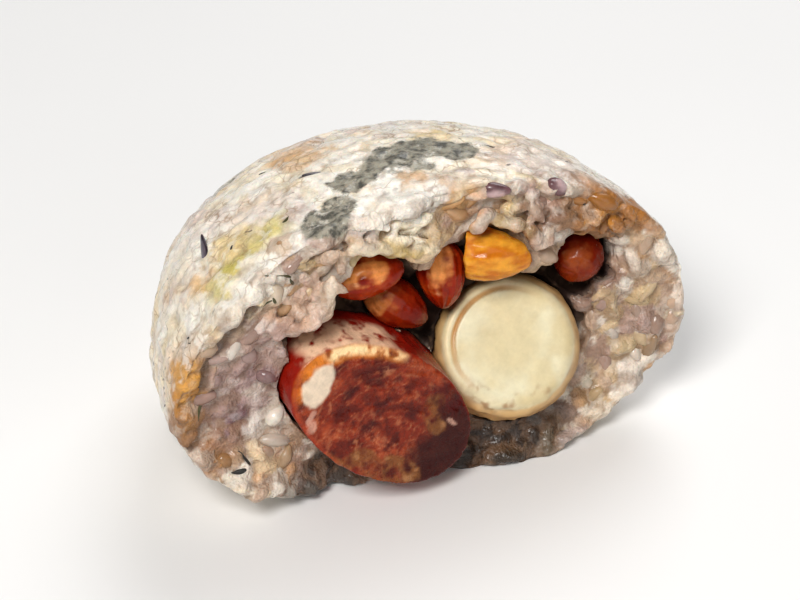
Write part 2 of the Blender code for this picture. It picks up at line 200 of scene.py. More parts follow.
STAINS: tuple[Stain, ...] = tuple(Stain(*row) for row in (
    # the crown
    (Tint.CREAM, (9.0, 27.0, 54.5), 4.0, 0.7, 0.4),
    # greens under the skin, left of the crown
    (Tint.GREENS, (-25.5, 16.0, 51.7), 3.6, 0.7),
    (Tint.GREENS, (-29.5, 16.0, 49.7), 4.2, 0.75),
    (Tint.GREENS, (-33.5, 16.0, 47.3), 4.2, 0.7),
    (Tint.GREENS, (-36.8, 13.0, 45.0), 4.6, 0.65),
    (Tint.WHITE, (-41.5, 12.0, 38.5), 4.5, 0.7),
    (Tint.WHITE, (25.0, 12.0, 53.0), 7.5, 0.65, 0.5),
    # amber and tan juices
    (Tint.AMBER, (-47.2, 6.5, 30.0), 6.0, 0.9, 0.5),
    (Tint.AMBER, (-46.0, 5.0, 25.0), 6.0, 0.97, 0.4),
    (Tint.ORANGE, (-46.0, 5.0, 25.0), 5.5, 0.4, 0.5),
    (Tint.AMBER, (-46.5, 11.0, 32.0), 4.5, 0.35, 0.5),
    (Tint.AMBER, (-12.5, 34.5, 51.8), 5.5, 0.5),
    (Tint.AMBER, (-12.0, 39.0, 50.0), 5.0, 0.45),
    (Tint.AMBER, (-39.0, 22.0, 41.0), 4.0, 0.35),
    (Tint.AMBER, (4.5, 6.5, 52.5), 4.2, 0.55),
    (Tint.ORANGE, (36.0, 4.5, 46.0), 5.5, 0.95, 0.5),
    (Tint.TAN, (31.0, 6.0, 43.0), 6.0, 0.8, 0.5),
    (Tint.ORANGE, (39.5, 5.5, 43.5), 5.0, 0.75, 0.4),
    (Tint.OLIVE, (-10.0, 7.0, 47.8), 5.5, 0.65),
    (Tint.OLIVE, (-5.0, 7.0, 46.0), 5.0, 0.7),
    (Tint.OLIVE, (16.0, 6.5, 47.6), 4.6, 0.55),
    (Tint.TAN, (21.0, 6.0, 46.0), 5.0, 0.75),
    (Tint.TAN, (24.5, 5.0, 48.0), 5.5, 0.85),
    (Tint.ORANGE, (30.0, 5.5, 46.0), 6.0, 0.8),
    (Tint.TAN, (-42.5, 6.5, 20.0), 7.0, 0.88, 0.5),
    (Tint.TAN, (-41.0, 5.0, 18.0), 6.0, 0.6, 0.5),
    (Tint.ORANGE, (-41.5, 6.0, 15.5), 4.0, 0.5),
    (Tint.TAN, (-27.0, 5.0, 12.5), 4.5, 0.5),
    (Tint.AMBER, (-28.5, 6.0, 39.0), 5.0, 0.4),
    # purple rice and bean juice
    (Tint.PINK, (-30.0, 24.0, 47.5), 9.0, 0.35, 0.4),
    (Tint.PINK, (22.0, 15.0, 54.0), 9.0, 0.4, 0.4),
    (Tint.MAUVE, (-22.5, 15.5, 53.0), 3.6, 0.6),
    (Tint.MAUVE, (-41.5, 25.0, 36.5), 3.2, 0.35, 0.8),
    (Tint.MAUVE, (-34.5, 7.0, 31.5), 8.5, 0.75, 0.5),
    (Tint.MAUVE, (-36.5, 7.0, 23.0), 8.0, 0.75, 0.5),
    (Tint.MAUVE, (-27.0, 6.0, 35.0), 4.5, 0.45),
    (Tint.MAUVE, (-35.0, 6.0, 22.0), 6.0, 0.5),
    (Tint.PURPLE, (-36.8, 7.0, 20.5), 2.6, 0.8, 0.9),
    (Tint.PURPLE, (-38.5, 6.0, 27.0), 1.8, 0.6, 0.9),
    (Tint.PURPLE, (-31.0, 7.0, 28.5), 2.2, 0.6, 0.9),
    (Tint.MAUVE, (-13.0, 6.0, 52.4), 3.2, 0.8),
    (Tint.PURPLE, (10.5, 5.5, 50.5), 1.8, 0.5, 0.9),
    (Tint.MAUVE, (20.0, 6.0, 50.5), 5.0, 0.45),
    # pale clumps
    # partly pale grains, partly painted highlight on the roof's upper rim
    (Tint.WHITE, (-4.0, 5.0, 53.5), 6.0, 0.95, 0.4),
    (Tint.WHITE, (36.0, 14.0, 48.0), 5.0, 0.6),
    (Tint.CREAM, (-38.0, 16.0, 43.0), 4.0, 0.55, 0.7),
    (Tint.WHITE, (-35.5, 25.0, 46.0), 5.0, 0.65, 0.5),
    (Tint.CREAM, (-33.5, 20.0, 48.0), 4.5, 0.75, 0.5),
    # partly pale grains, partly painted highlight on the roof's upper rim
    (Tint.WHITE, (-10.0, 5.5, 53.8), 3.0, 0.6, 0.5),
    (Tint.WHITE, (-4.5, 16.5, 56.3), 3.0, 0.75, 0.5),
    (Tint.AMBER, (-1.0, 13.0, 56.2), 3.2, 0.6, 0.7),
    (Tint.WHITE, (-37.5, 24.0, 42.5), 6.0, 0.55, 0.5),
    (Tint.CREAM, (-33.5, 20.0, 46.5), 3.2, 0.6, 0.7),
    (Tint.AMBER, (-38.0, 17.0, 42.0), 3.5, 0.4),
    (Tint.WHITE, (-31.5, 6.5, 17.0), 3.6, 0.55, 0.5),
    (Tint.WHITE, (-32.0, 6.5, 24.0), 2.6, 0.5, 0.5),
    (Tint.WHITE, (-37.5, 6.5, 33.5), 2.2, 0.55, 0.5),
    (Tint.WHITE, (-32.0, 5.5, 45.5), 3.0, 0.6, 0.5),
    (Tint.WHITE, (-6.5, 7.0, 49.5), 2.4, 0.6, 0.5),
    # shaded rice under the fillings
    (Tint.SHADED, (5.5, 3.5, 3.0), 7.5, 0.97, 0.4),
    (Tint.SHADED, (11.5, 3.0, 3.8), 8.0, 0.97, 0.4),
    (Tint.SHADED, (17.5, 3.0, 5.5), 7.0, 0.85, 0.5),
    (Tint.SHADED, (12.0, 12.0, 3.0), 10.0, 0.95, 0.4),
    (Tint.SHADED, (-20.5, 5.0, 3.0), 6.5, 0.96, 0.5),
    (Tint.SHADED, (-27.0, 4.0, 2.5), 4.5, 0.75, 0.5),
    # back and right side, like the rest of the skin
    (Tint.GREENS, (34.0, 30.0, 38.0), 5.0, 0.55, 0.7),
    (Tint.GREENS, (30.0, 36.0, 40.0), 4.5, 0.5, 0.7),
    (Tint.AMBER, (46.0, 20.0, 24.0), 5.5, 0.5),
    (Tint.AMBER, (12.0, 56.0, 32.0), 6.0, 0.45),
    (Tint.MAUVE, (-8.0, 60.0, 24.0), 5.5, 0.4, 0.7),
    (Tint.MAUVE, (40.0, 34.0, 20.0), 5.0, 0.4, 0.7),
    (Tint.PINK, (20.0, 48.0, 40.0), 8.0, 0.4, 0.5),
    (Tint.AMBER, (-36.0, 44.0, 20.0), 6.0, 0.45),
))
LEAVES: tuple[Stain, ...] = tuple(Stain(Tint.LEAF, *row) for row in (
    ((-9.5, 18.5, 55.7), 4.2, 0.85, 0.8),
    ((-4.5, 20.0, 55.9), 4.6, 0.9, 0.8),
    ((0.5, 22.5, 55.7), 4.8, 0.85, 0.8),
    ((5.5, 22.5, 55.6), 4.6, 0.85, 0.8),
    ((10.0, 20.5, 55.5), 4.2, 0.9, 0.8),
    ((2.0, 16.5, 56.2), 3.2, 0.7, 0.8),
    ((-19.5, 8.5, 54.1), 4.4, 0.95, 0.7),
    ((-16.0, 11.5, 55.0), 3.2, 0.7, 0.7),
    ((-22.0, 46.0, 40.0), 4.5, 0.6, 0.8),
))
# starts and ends in millimetres from the rice's datum, and widths in millimetres, of cracks sunk into
# the core and painted with shade
CRACKS: tuple[tuple[Triple, Triple, float], ...] = (
    # the seam between skin and torn rice, left
    ((-33.5, 4.6, 42.5), (-38.0, 4.6, 38.5), 0.9),
    ((-38.0, 4.6, 38.5), (-41.5, 5.0, 33.0), 1.1),
    ((-41.5, 5.0, 33.0), (-43.6, 5.5, 27.5), 0.9),
    # short cracks in the torn rice, the skin and the roof
    ((-31.0, 5.0, 24.0), (-33.5, 5.0, 19.0), 0.8),
    ((-46.8, 16.0, 33.0), (-48.0, 18.0, 24.0), 0.6),
    ((-20.0, 6.0, 50.5), (-27.0, 6.0, 47.5), 0.6),
    ((-16.0, 5.0, 50.8), (-12.5, 5.0, 51.2), 0.8),
    ((8.0, 5.0, 52.6), (13.5, 5.0, 51.5), 0.7),
    ((-30.5, 5.0, 34.5), (-28.0, 5.0, 33.0), 0.7),
)


@dataclass(frozen=True)
class EdgeGrain:
    """A clump of grains at the edge of the hollow.

    The place is millimetres from the rice's datum, turn its slope in degrees, length that of a
    grain in millimetres and clump the number of grains. A seated clump lies on the torn face.
    """

    tint: Tint
    place: Triple
    turn: float
    length: float = 5.0
    clump: int = 6
    seated: bool = False


HOLLOW_MIDDLE: Triple = (2.0, 0.0, 30.0)
EDGE_GRAINS: tuple[EdgeGrain, ...] = tuple(EdgeGrain(*row) for row in (
    # over the left peanut
    (Tint.WHITE, (-12.3, 4.0, 49.9), 12.0, 4.6),
    (Tint.WHITE, (-10.2, 3.9, 49.1), -22.0, 4.4),
    (Tint.CREAM, (-15.2, 4.2, 50.6), 30.0),
    (Tint.PINK, (-17.4, 4.2, 48.0), 62.0),
    (Tint.CREAM, (-8.0, 4.1, 48.4), 8.0),
    # the lobe over the middle peanut
    (Tint.OLIVE, (-6.4, 3.9, 46.9), -24.0),
    (Tint.PINK, (-4.4, 3.8, 45.7), 6.0, 4.8),
    (Tint.CREAM, (-2.4, 3.9, 46.2), 34.0),
    (Tint.OLIVE, (-0.6, 4.1, 47.6), 55.0),
    (Tint.OLIVE, (-3.8, 4.0, 47.4), 14.0),
    # over the kernel
    (Tint.PINK, (7.6, 4.2, 49.3), -6.0),
    (Tint.CREAM, (11.4, 4.2, 48.7), -14.0),
    (Tint.PINK, (14.8, 4.0, 47.3), -38.0),
    # between the kernel and the right peanut
    (Tint.TAN, (17.2, 3.8, 45.4), -68.0),
    (Tint.PINK, (18.6, 3.7, 43.6), -74.0),
    (Tint.WHITE, (20.4, 3.7, 43.8), 62.0),
    (Tint.TAN, (22.4, 3.9, 45.4), 35.0),
    # over the right peanut
    (Tint.TAN, (26.0, 4.2, 44.6), -8.0),
    (Tint.AMBER, (30.0, 4.2, 43.6), -22.0),
    (Tint.TAN, (33.6, 4.4, 41.4), -40.0),
    # left of the sausage
    (Tint.PINK, (-19.3, 4.0, 43.4), 78.0),
    (Tint.MAUVE, (-20.3, 3.8, 41.2), 55.0),
    (Tint.PINK, (-22.0, 3.7, 39.4), -28.0, 4.8),
    (Tint.PINK, (-24.0, 3.6, 38.2), 28.0),
    (Tint.MAUVE, (-26.3, 3.6, 36.8), 48.0),
    (Tint.PINK, (-29.5, 2.6, 33.0), 60.0, 5.6, 4, True),
    (Tint.PINK, (-30.2, 2.4, 27.0), 70.0, 5.6, 4, True),
    (Tint.GREY, (-32.0, 2.0, 22.5), -60.0, 5.8, 5, True),
    (Tint.GREY, (-30.0, 2.0, 18.0), 50.0, 5.8, 6, True),
    (Tint.GREY, (-27.5, 2.0, 14.5), 35.0, 5.8, 5, True),
    (Tint.PINK, (-25.0, 2.0, 11.5), -45.0, 5.6, 4, True),
))


# ---- numbers and meshes
def lattice_noise(points: Array, size: float, seed: int) -> Array:
    """Smooth seeded noise.

    Args:
        points: places, one row each, metres.
        size: size of its lumps, metres.
        seed: which noise field is read.

    Returns:
        One value between -1 and 1 for each point.
    """
    cells = points / size
    base = np.floor(cells).astype(np.int64)
    share = cells - base
    share = share * share * (3.0 - 2.0 * share)
    total = np.zeros(len(points))
    for corner in np.ndindex(2, 2, 2):
        key = (base + corner) * (73856093, 19349663, 83492791)
        mixed = key[:, 0] ^ key[:, 1] ^ key[:, 2] ^ (seed * 668265263)
        mixed = ((mixed ^ (mixed >> 13)) * 1274126177) ^ (mixed >> 7)
        value = ((mixed >> 5) & 0xFFFF) / 32767.5 - 1.0
        weight = np.prod(np.where(corner, share, 1.0 - share), axis=1)
        total += weight * value
    return total


def layered_noise(points: Array, size: float, seed: int, layers: int = 3) -> Array:
    """Sum of lattice noises, each half the size and height of the one before.

    Args:
        points: places, one row each, metres.
        size: size of the largest lumps, metres.
        seed: which noise field is read.
        layers: number of noises.

    Returns:
        One value between -1 and 1 for each point.
    """
    total = np.zeros(len(points))
    for layer in range(layers):
        total += lattice_noise(points, size / 2 ** layer, seed + 17 * layer) / 2 ** layer
    return total / (2.0 - 2.0 ** (1 - layers))


def ease(share: Array) -> Array:
    """Smooth step from 0 to 1."""
    share = np.clip(share, 0.0, 1.0)
    return share * share * (3.0 - 2.0 * share)


def rgb(colours: Enum | Array) -> Array:
    """The numbers of a tint, or colours as they are."""
    return np.array(colours.value) if isinstance(colours, Enum) else colours


def blend(base: Enum | Array, *layers: tuple[Enum | Array, Array]) -> Array:
    """Lay tints over others.

    Args:
        base: a tint, or a colour for each point.
        layers: what is laid on, lowest first: a tint or colours, and its share at each point.

    Returns:
        A colour for each point.
    """
    colours = rgb(base)
    for tint, share in layers:
        colours = colours + (rgb(tint) - colours) * share[:, None]
    return colours


def clouded(base: Tint, clouds: tuple[Cloud, ...], points: Array) -> Array:
    """Lay soft clouds of other tints over a base tint.

    Args:
        base: the base tint.
        clouds: the clouds, lowest first.
        points: where the colour is wanted.

    Returns:
        A colour for each point.
    """
    layers = []
    for cloud in clouds:
        noise = layered_noise(points, cloud.size * MM, cloud.seed)
        layers.append((cloud.tint, ease(cloud.offset + cloud.gain * noise) * cloud.most))
    return blend(base, *layers)


def unit(rows: Array) -> Array:
    """Each row at length 1."""
    return rows / np.linalg.norm(rows, axis=1, keepdims=True)


def levelled(rows: Array, axes: Array, share: float = 1.0) -> Array:
    """Rows less a share of their part along each row of axes."""
    return rows - axes * (rows * axes).sum(axis=1, keepdims=True) * share


def read_points(mesh: Mesh, what: str = "co") -> Array:
    """Vertex places of a mesh, or another vector that its vertices have, one row each."""
    flat = np.empty(len(mesh.vertices) * 3, dtype=np.float32)
    mesh.vertices.foreach_get(what, flat)
    return flat.reshape(-1, 3).astype(float)


def read_normals(mesh: Mesh) -> Array:
    """Vertex normals of a mesh, one row each."""
    return read_points(mesh, "normal")


def read_surface(mesh: Mesh) -> tuple[Array, Array, Array]:
    """Vertex places and normals of a mesh, and the vertex pairs of its edges."""
    return read_points(mesh), read_normals(mesh), read_edges(mesh)


def write_points(mesh: Mesh, points: Array) -> None:
    """Move the vertices of a mesh."""
    mesh.vertices.foreach_set("co", points.astype(np.float32).ravel())
    mesh.update()


def read_edges(mesh: Mesh) -> Array:
    """Vertex pairs of the edges of a mesh."""
    flat = np.empty(len(mesh.edges) * 2, dtype=np.int32)
    mesh.edges.foreach_get("vertices", flat)
    return flat.reshape(-1, 2)


def spread(values: Array, edges: Array, rounds: int) -> Array:
    """Average vertex values with their neighbours'.

    Args:
        values: a number or a row for each vertex.
        edges: vertex pairs of the edges.
        rounds: how often they are averaged.

    Returns:
        The averaged values.
    """
    count = np.bincount(edges.ravel(), minlength=len(values)).astype(float) + 1.0
    if values.ndim > 1:
        count = count[:, None]
    for _ in range(rounds):
        total = values.copy()
        np.add.at(total, edges[:, 0], values[edges[:, 1]])
        np.add.at(total, edges[:, 1], values[edges[:, 0]])
        values = total / count
    return values


def hollowness(mesh: Mesh, reach: float, rounds: int) -> Array:
    """How far each vertex lies in a crease, or on a ridge where it is negative.

    Args:
        mesh: the mesh.
        reach: the depth that counts as 1, metres.
        rounds: how wide around each vertex its neighbours count.

    Returns:
        A share of the reach for each vertex.
    """
    points, edges = read_points(mesh), read_edges(mesh)
    around = spread(points, edges, rounds)
    return ((around - points) * read_normals(mesh)).sum(axis=1) / reach


def link(thing: Piece) -> None:
    """Put a piece, a light or a camera in the scene."""
    bpy.context.scene.collection.objects.link(thing)


def select_only(piece: Piece) -> None:
    """Make a piece the only selected and the active one."""
    bpy.ops.object.select_all(action="DESELECT")
    piece.select_set(True)
    bpy.context.view_layer.objects.active = piece


def apply_modifier(piece: Piece, kind: str, **settings: object) -> None:
    """Add a modifier of the given kind and apply it at once."""
    select_only(piece)
    step = piece.modifiers.new(kind.lower(), kind)
    for name, value in settings.items():
        setattr(step, name, value)
    bpy.ops.object.modifier_apply(modifier=step.name)


def copy_of_node(node: str, name: str) -> Piece:
    """A merged, closed copy of a CAD solid as a new piece."""
    piece = bpy.data.objects.new(name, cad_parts[node].data.copy())
    piece.data.name = name
    piece.data.materials.clear()
    link(piece)
    select_only(piece)
    bpy.ops.object.mode_set(mode="EDIT")
    bpy.ops.mesh.select_all(action="SELECT")
    bpy.ops.mesh.remove_doubles(threshold=1e-6)
    bpy.ops.object.mode_set(mode="OBJECT")
    return piece


def fine_copy(node: str, name: str, voxel: float, smoothing: int) -> Piece:
    """A copy of a CAD solid with small even faces and no facets left.

    Args:
        node: the CAD node.
        name: name of the new piece.
        voxel: size of its faces, metres.
        smoothing: rounds of smoothing.

    Returns:
        The new piece.
    """
    piece = copy_of_node(node, name)
    apply_modifier(piece, "REMESH", mode="VOXEL", voxel_size=voxel, adaptivity=0.0)
    apply_modifier(piece, "SMOOTH", factor=0.5, iterations=smoothing)
    return piece


def dress(piece: Piece, material: Material, colours: Array, crease: Array,
          **marks: Array) -> Piece:
    """Colour a piece, shade it smooth and give it its finish.

    Args:
        piece: the piece.
        material: its finish.
        colours: colour of each vertex, stored as the attribute tint.
        crease: how deep in a crease each vertex lies, where the finish paints shade.
        marks: further numbers for each vertex, stored under their names.

    Returns:
        The same piece.
    """
    mesh = piece.data
    rgba = np.ones((len(mesh.vertices), 4), dtype=np.float32)
    rgba[:, :3] = np.clip(colours, 0.0, 1.0)
    tint = mesh.attributes.new("tint", "FLOAT_COLOR", "POINT")
    tint.data.foreach_set("color", rgba.ravel())
    for name, values in (("crease", np.clip(crease, 0.0, 1.0)), *marks.items()):
        made = mesh.attributes.new(name, "FLOAT", "POINT")
        made.data.foreach_set("value", values.astype(np.float32))
    mesh.shade_smooth()
    mesh.materials.clear()
    mesh.materials.append(material)
    return piece


def bvh_of(piece: Piece) -> BVHTree:
    """Search tree over the faces of a piece."""
    shape = bmesh.new()
    shape.from_mesh(piece.data)
    tree = BVHTree.FromBMesh(shape)
    shape.free()
    return tree


def distances(tree: BVHTree, points: Array) -> Array:
    """Distance of each point from the nearest face of a search tree."""
    return np.array([tree.find_nearest(Vector(point))[3] for point in points])


def long_axes(points: Array) -> tuple[Array, Array]:
    """Middle of a cloud of points and its axes, longest first, as rows."""
    middle = points.mean(axis=0)
    _, _, axes = np.linalg.svd(points - middle, full_matrices=False)
    return middle, axes


# ---- shader groups
def feed(tree: Tree, node: Node, inputs: dict[str | int, object]) -> None:
    """Give each named input of a node a fixed value, or link it to a socket."""
    for label, value in inputs.items():
        if isinstance(value, Socket):
            tree.links.new(value, node.inputs[label])
        else:
            node.inputs[label].default_value = value


def add_node(tree: Tree, kind: str, inputs: dict[str | int, object], **settings: object) -> Node:
    """Add a node to a tree.

    Args:
        tree: the tree.
        kind: kind of the node, without the words that every kind starts with.
        inputs: a fixed value or a socket for each input, by name or number.
        settings: the node's own settings.

    Returns:
        The new node.
    """
    node = tree.nodes.new("ShaderNode" + kind)
    for name, value in settings.items():
        setattr(node, name, value)
    feed(tree, node, inputs)
    return node


def math_node(tree: Tree, operation: str, *values: Socket | float) -> Socket:
    """Add a Math node."""
    return add_node(tree, "Math", dict(enumerate(values)), operation=operation).outputs[0]


def noise_node(tree: Tree, place: Socket, scale: Socket | float, detail: float = 3.0,
               rough: float = 0.55) -> Socket:
    """Add a Noise texture."""
    inputs = {"Vector": place, "Scale": scale, "Detail": detail, "Roughness": rough}
    return add_node(tree, "TexNoise", inputs).outputs["Fac"]


def mix_node(tree: Tree, share: Socket, first: object, second: object) -> Socket:
    """Add a node that mixes two colours."""
    inputs = {"Factor": share, "A": first, "B": second}
    return add_node(tree, "Mix", inputs, data_type="RGBA").outputs["Result"]


def range_node(tree: Tree, value: Socket, low: float, high: float,
               first: Socket | float = 0.0, last: Socket | float = 1.0) -> Socket:
    """Add a node that turns the span from low to high into the one from first to last."""
    inputs = {"Value": value, "From Min": low, "From Max": high, "To Min": first, "To Max": last}
    return add_node(tree, "MapRange", inputs).outputs["Result"]


def new_group(name: str, output: str,
              inputs: dict[str, Triple | float]) -> tuple[Tree, bpy.types.NodeOutputs, Socket]:
    """Start a node group with named sockets.

    Args:
        name: name of the group.
        output: name of its one output.
        inputs: a colour or a number for each input, which holds until the input is set.

    Returns:
        The group, the sockets of what comes into it, and the socket of the place on the piece.
    """
    group = bpy.data.node_groups.new(name, "ShaderNodeTree")
    for label, value in inputs.items():
        coloured = isinstance(value, tuple)
        kind = "NodeSocketColor" if coloured else "NodeSocketFloat"
        socket = group.interface.new_socket(label, in_out="INPUT", socket_type=kind)
        socket.default_value = (*value, 1.0) if coloured else value
    group.interface.new_socket(output, in_out="OUTPUT", socket_type=OUTPUT_KINDS[output])
    come = group.nodes.new("NodeGroupInput").outputs
    return group, come, add_node(group, "TexCoord", {}).outputs["Object"]


def close_group(group: Tree, result: Socket) -> Tree:
    """Lead the result out of a group, which is then complete."""
    group.links.new(result, group.nodes.new("NodeGroupOutput").inputs[0])
    return group


def mottle_and_crease_shade_group() -> Tree:
    """Group that varies a colour in two sizes of soft cloud and paints shade into its creases."""
    group, come, place = new_group("mottle_and_crease_shade", "Colour", {
        "Colour": (0.8, 0.8, 0.8), "Crease": 0.0, "Crease Shade": (0.2, 0.1, 0.05),
        "Scale": 300.0, "Amount": 0.2})
    broad = noise_node(group, place, come["Scale"])
    fine = noise_node(group, place, math_node(group, "MULTIPLY", come["Scale"], 3.7), 2.0)
    clouds = math_node(group, "ADD", math_node(group, "MULTIPLY", broad, 1.3),
                       math_node(group, "MULTIPLY", fine, 0.7))
    level = math_node(group, "SUBTRACT", clouds, 1.0)
    gain = math_node(group, "MULTIPLY_ADD", level, come["Amount"], 1.0)
    varied = add_node(group, "VectorMath", {}, operation="SCALE")
    feed(group, varied, {0: come["Colour"], "Scale": gain})
    return close_group(group, mix_node(group, come["Crease"], varied.outputs[0],
                                       come["Crease Shade"]))


def film_group() -> Tree:
    """Group that lays a thin ragged leaf over a colour, by a share."""
    group, come, place = new_group("leaf_film", "Colour", {
        "Colour": (0.8, 0.8, 0.8), "Leaf": 0.0, "Pale": (0.36, 0.33, 0.26),
        "Dark": (0.085, 0.08, 0.065), "Scale": 1100.0})
    fine = noise_node(group, place, come["Scale"], 5.0, 0.65)
    broad_scale = math_node(group, "MULTIPLY", come["Scale"], 0.45)
    broad = noise_node(group, place, broad_scale, 4.0, 0.6)
    ragged = math_node(group, "MULTIPLY_ADD", fine, 2.6, -1.55)
    reach = math_node(group, "MULTIPLY_ADD", come["Leaf"], 1.7, ragged)
    present = math_node(group, "GREATER_THAN", come["Leaf"], 0.02)
    cover = math_node(group, "MULTIPLY", reach, present)
    cover.node.use_clamp = True
    leaf = mix_node(group, range_node(group, broad, 0.42, 0.60), come["Pale"], come["Dark"])
    return close_group(group, mix_node(group, cover, come["Colour"], leaf))


def marks_group() -> Tree:
    """Group that draws broken brown seams, dark specks and pale flecks over a colour."""
    group, come, place = new_group("rice_marks", "Colour", {
        "Colour": (0.8, 0.8, 0.8), "Seam": (0.30, 0.17, 0.08), "Speck": (0.10, 0.055, 0.045),
        "Pale": (0.94, 0.90, 0.82), "Scale": 330.0, "Amount": 1.0})

    def level(scale: float, low: float, high: float, detail: float = 3.0) -> Socket:
        """Noise at a share of the scale, stretched between two levels."""
        size = math_node(group, "MULTIPLY", come["Scale"], scale)
        return range_node(group, noise_node(group, place, size, detail), low, high)

    stir = noise_node(group, place, come["Scale"], 2.0, 0.5).node.outputs["Color"]
    swing = (4.0 * MM,) * 3
    moved = add_node(group, "VectorMath", {0: stir, 1: swing, 2: place}, operation="MULTIPLY_ADD")
    cells = add_node(group, "TexVoronoi", {"Vector": moved.outputs[0], "Scale": come["Scale"]},
                     feature="DISTANCE_TO_EDGE")
    seam = range_node(group, cells.outputs["Distance"], 0.07, 0.01)
    seams = math_node(group, "MULTIPLY", seam, level(0.5, 0.44, 0.62))
    specks = math_node(group, "MULTIPLY", level(1.4, 0.665, 0.72, 2.0), level(0.30, 0.50, 0.60))
    pales = level(0.9, 0.53, 0.62, 4.0)
    colour = come["Colour"]
    for share, label, most in ((pales, "Pale", 0.45), (seams, "Seam", 0.60), (specks, "Speck", 0.80)):
        amount = math_node(group, "MULTIPLY", come["Amount"], most)
        colour = mix_node(group, math_node(group, "MULTIPLY", share, amount), colour, come[label])
    return close_group(group, colour)


def sheen_group() -> Tree:
    """Group for damp gloss: a roughness that changes over the surface."""
    group, come, place = new_group("damp_gloss", "Roughness", {
        "Dry": 0.6, "Wet": 0.25, "Scale": 250.0, "Crease": 0.0})
    cloud = noise_node(group, place, come["Scale"], 4.0, 0.6)
    patchy = range_node(group, cloud, 0.36, 0.64, come["Wet"], come["Dry"])
    return close_group(group, math_node(group, "MULTIPLY_ADD", come["Crease"], 0.2, patchy))


def relief_group() -> Tree:
    """Group for fine relief: a normal from two sizes of soft bump and sharp folds."""
    group, come, place = new_group("fine_relief", "Normal", {
        "Scale": 900.0, "Depth": 0.0001, "Strength": 0.6, "Crinkle": 0.0})
    broad = noise_node(group, place, come["Scale"], 3.0, 0.5)
    fine = noise_node(group, place, math_node(group, "MULTIPLY", come["Scale"], 3.1), 2.0)
    height = math_node(group, "MULTIPLY_ADD", fine, 0.35, broad)
    sharp = noise_node(group, place, math_node(group, "MULTIPLY", come["Scale"], 0.6), 2.0)
    fold = math_node(group, "ABSOLUTE", math_node(group, "SUBTRACT", sharp, 0.5))
    height = math_node(group, "MULTIPLY_ADD", math_node(group, "MULTIPLY", fold, -5.0),
                       come["Crinkle"], height)
    bump = add_node(group, "Bump", {"Height": height, "Distance": come["Depth"],
                                    "Strength": come["Strength"]})
    return close_group(group, bump.outputs["Normal"])


class Groups:
    """The node groups that the finishes share, built once."""

    def __init__(self) -> None:
        """Build each group."""
        self.mottle_and_crease_shade = mottle_and_crease_shade_group()
        self.marks = marks_group()
        self.film = film_group()
        self.sheen = sheen_group()
        self.relief = relief_group()


@dataclass(frozen=True)
class Finish:
    """A damp food finish that reads each vertex's tint, and its crease as painted shade.

    Sizes and depths are metres. A finish with leafy also reads the attribute leaf, one with marks
    also calm, and one with varied also raw, which deepens its relief.
    """

    name: str
    crease_colour: Triple
    mottle_size: float = 3.0 * MM
    mottle_amount: float = 0.25
    wet: float = 0.25
    dry: float = 0.55
    sheen_size: float = 4.0 * MM
    relief_size: float = 1.1 * MM
    relief_depth: float = 0.10 * MM
    relief_strength: float = 0.6
    flesh: float = 0.4
    flesh_depth: float = 2.0 * MM
    flesh_colour: Triple = (1.0, 0.55, 0.35)
    coat: float = 0.3
    coat_roughness: float = 0.15
    specular: float = 0.5
    leafy: bool = False
    varied: bool = False
    raw_gain: float = 1.5
    crinkle: float = 0.0
    marks: float = 0.0

    def build(self, groups: Groups) -> Material:
        """Build the material.

        Args:
            groups: the shared node groups.

        Returns:
            The new material.
        """
        made = bpy.data.materials.new(self.name)
        made.use_nodes = True
        tree = made.node_tree
        crease = self._read(tree, "crease")
        roughness = self._use(tree, groups.sheen, {
            "Dry": self.dry, "Wet": self.wet, "Scale": 1.0 / self.sheen_size, "Crease": crease})
        depth = self.relief_depth
        if self.varied:
            depth = math_node(tree, "MULTIPLY_ADD", self._read(tree, "raw"),
                              self.relief_depth * self.raw_gain, self.relief_depth)
        normal = self._use(tree, groups.relief, {
            "Scale": 1.0 / self.relief_size, "Depth": depth, "Strength": self.relief_strength,
            "Crinkle": self.crinkle})
        feed(tree, tree.nodes["Principled BSDF"], {
            "Base Color": self._colour(tree, groups, crease), "Roughness": roughness,
            "Normal": normal, "Subsurface Weight": self.flesh,
            "Subsurface Radius": self.flesh_colour, "Subsurface Scale": self.flesh_depth,
            "Coat Weight": self.coat, "Coat Roughness": self.coat_roughness,
            "Specular IOR Level": self.specular})
        return made

    def _colour(self, tree: Tree, groups: Groups, crease: Socket) -> Socket:
        """Mottled colour with painted shade in creases, and marks and leaf where the finish has them.
        """
        colour = self._use(tree, groups.mottle_and_crease_shade, {
            "Colour": self._read(tree, "tint", "Color"), "Crease": crease,
            "Crease Shade": (*self.crease_colour, 1.0), "Scale": 1.0 / self.mottle_size,
            "Amount": self.mottle_amount})
        if self.marks:
            calm = self._read(tree, "calm")
            shown = math_node(tree, "MULTIPLY_ADD", calm, -self.marks, self.marks)
            colour = self._use(tree, groups.marks, {"Colour": colour, "Amount": shown})
        if self.leafy:
            leaf = self._read(tree, "leaf")
            colour = self._use(tree, groups.film, {"Colour": colour, "Leaf": leaf})
        return colour

    @staticmethod
    def _read(tree: Tree, name: str, output: str = "Fac") -> Socket:
        """Read an attribute of the vertices."""
        return add_node(tree, "Attribute", {}, attribute_name=name).outputs[output]

    @staticmethod
    def _use(tree: Tree, group: Tree, inputs: dict[str, object]) -> Socket:
        """Place a group in a material and feed it."""
        return add_node(tree, "Group", inputs, node_tree=group).outputs[0]


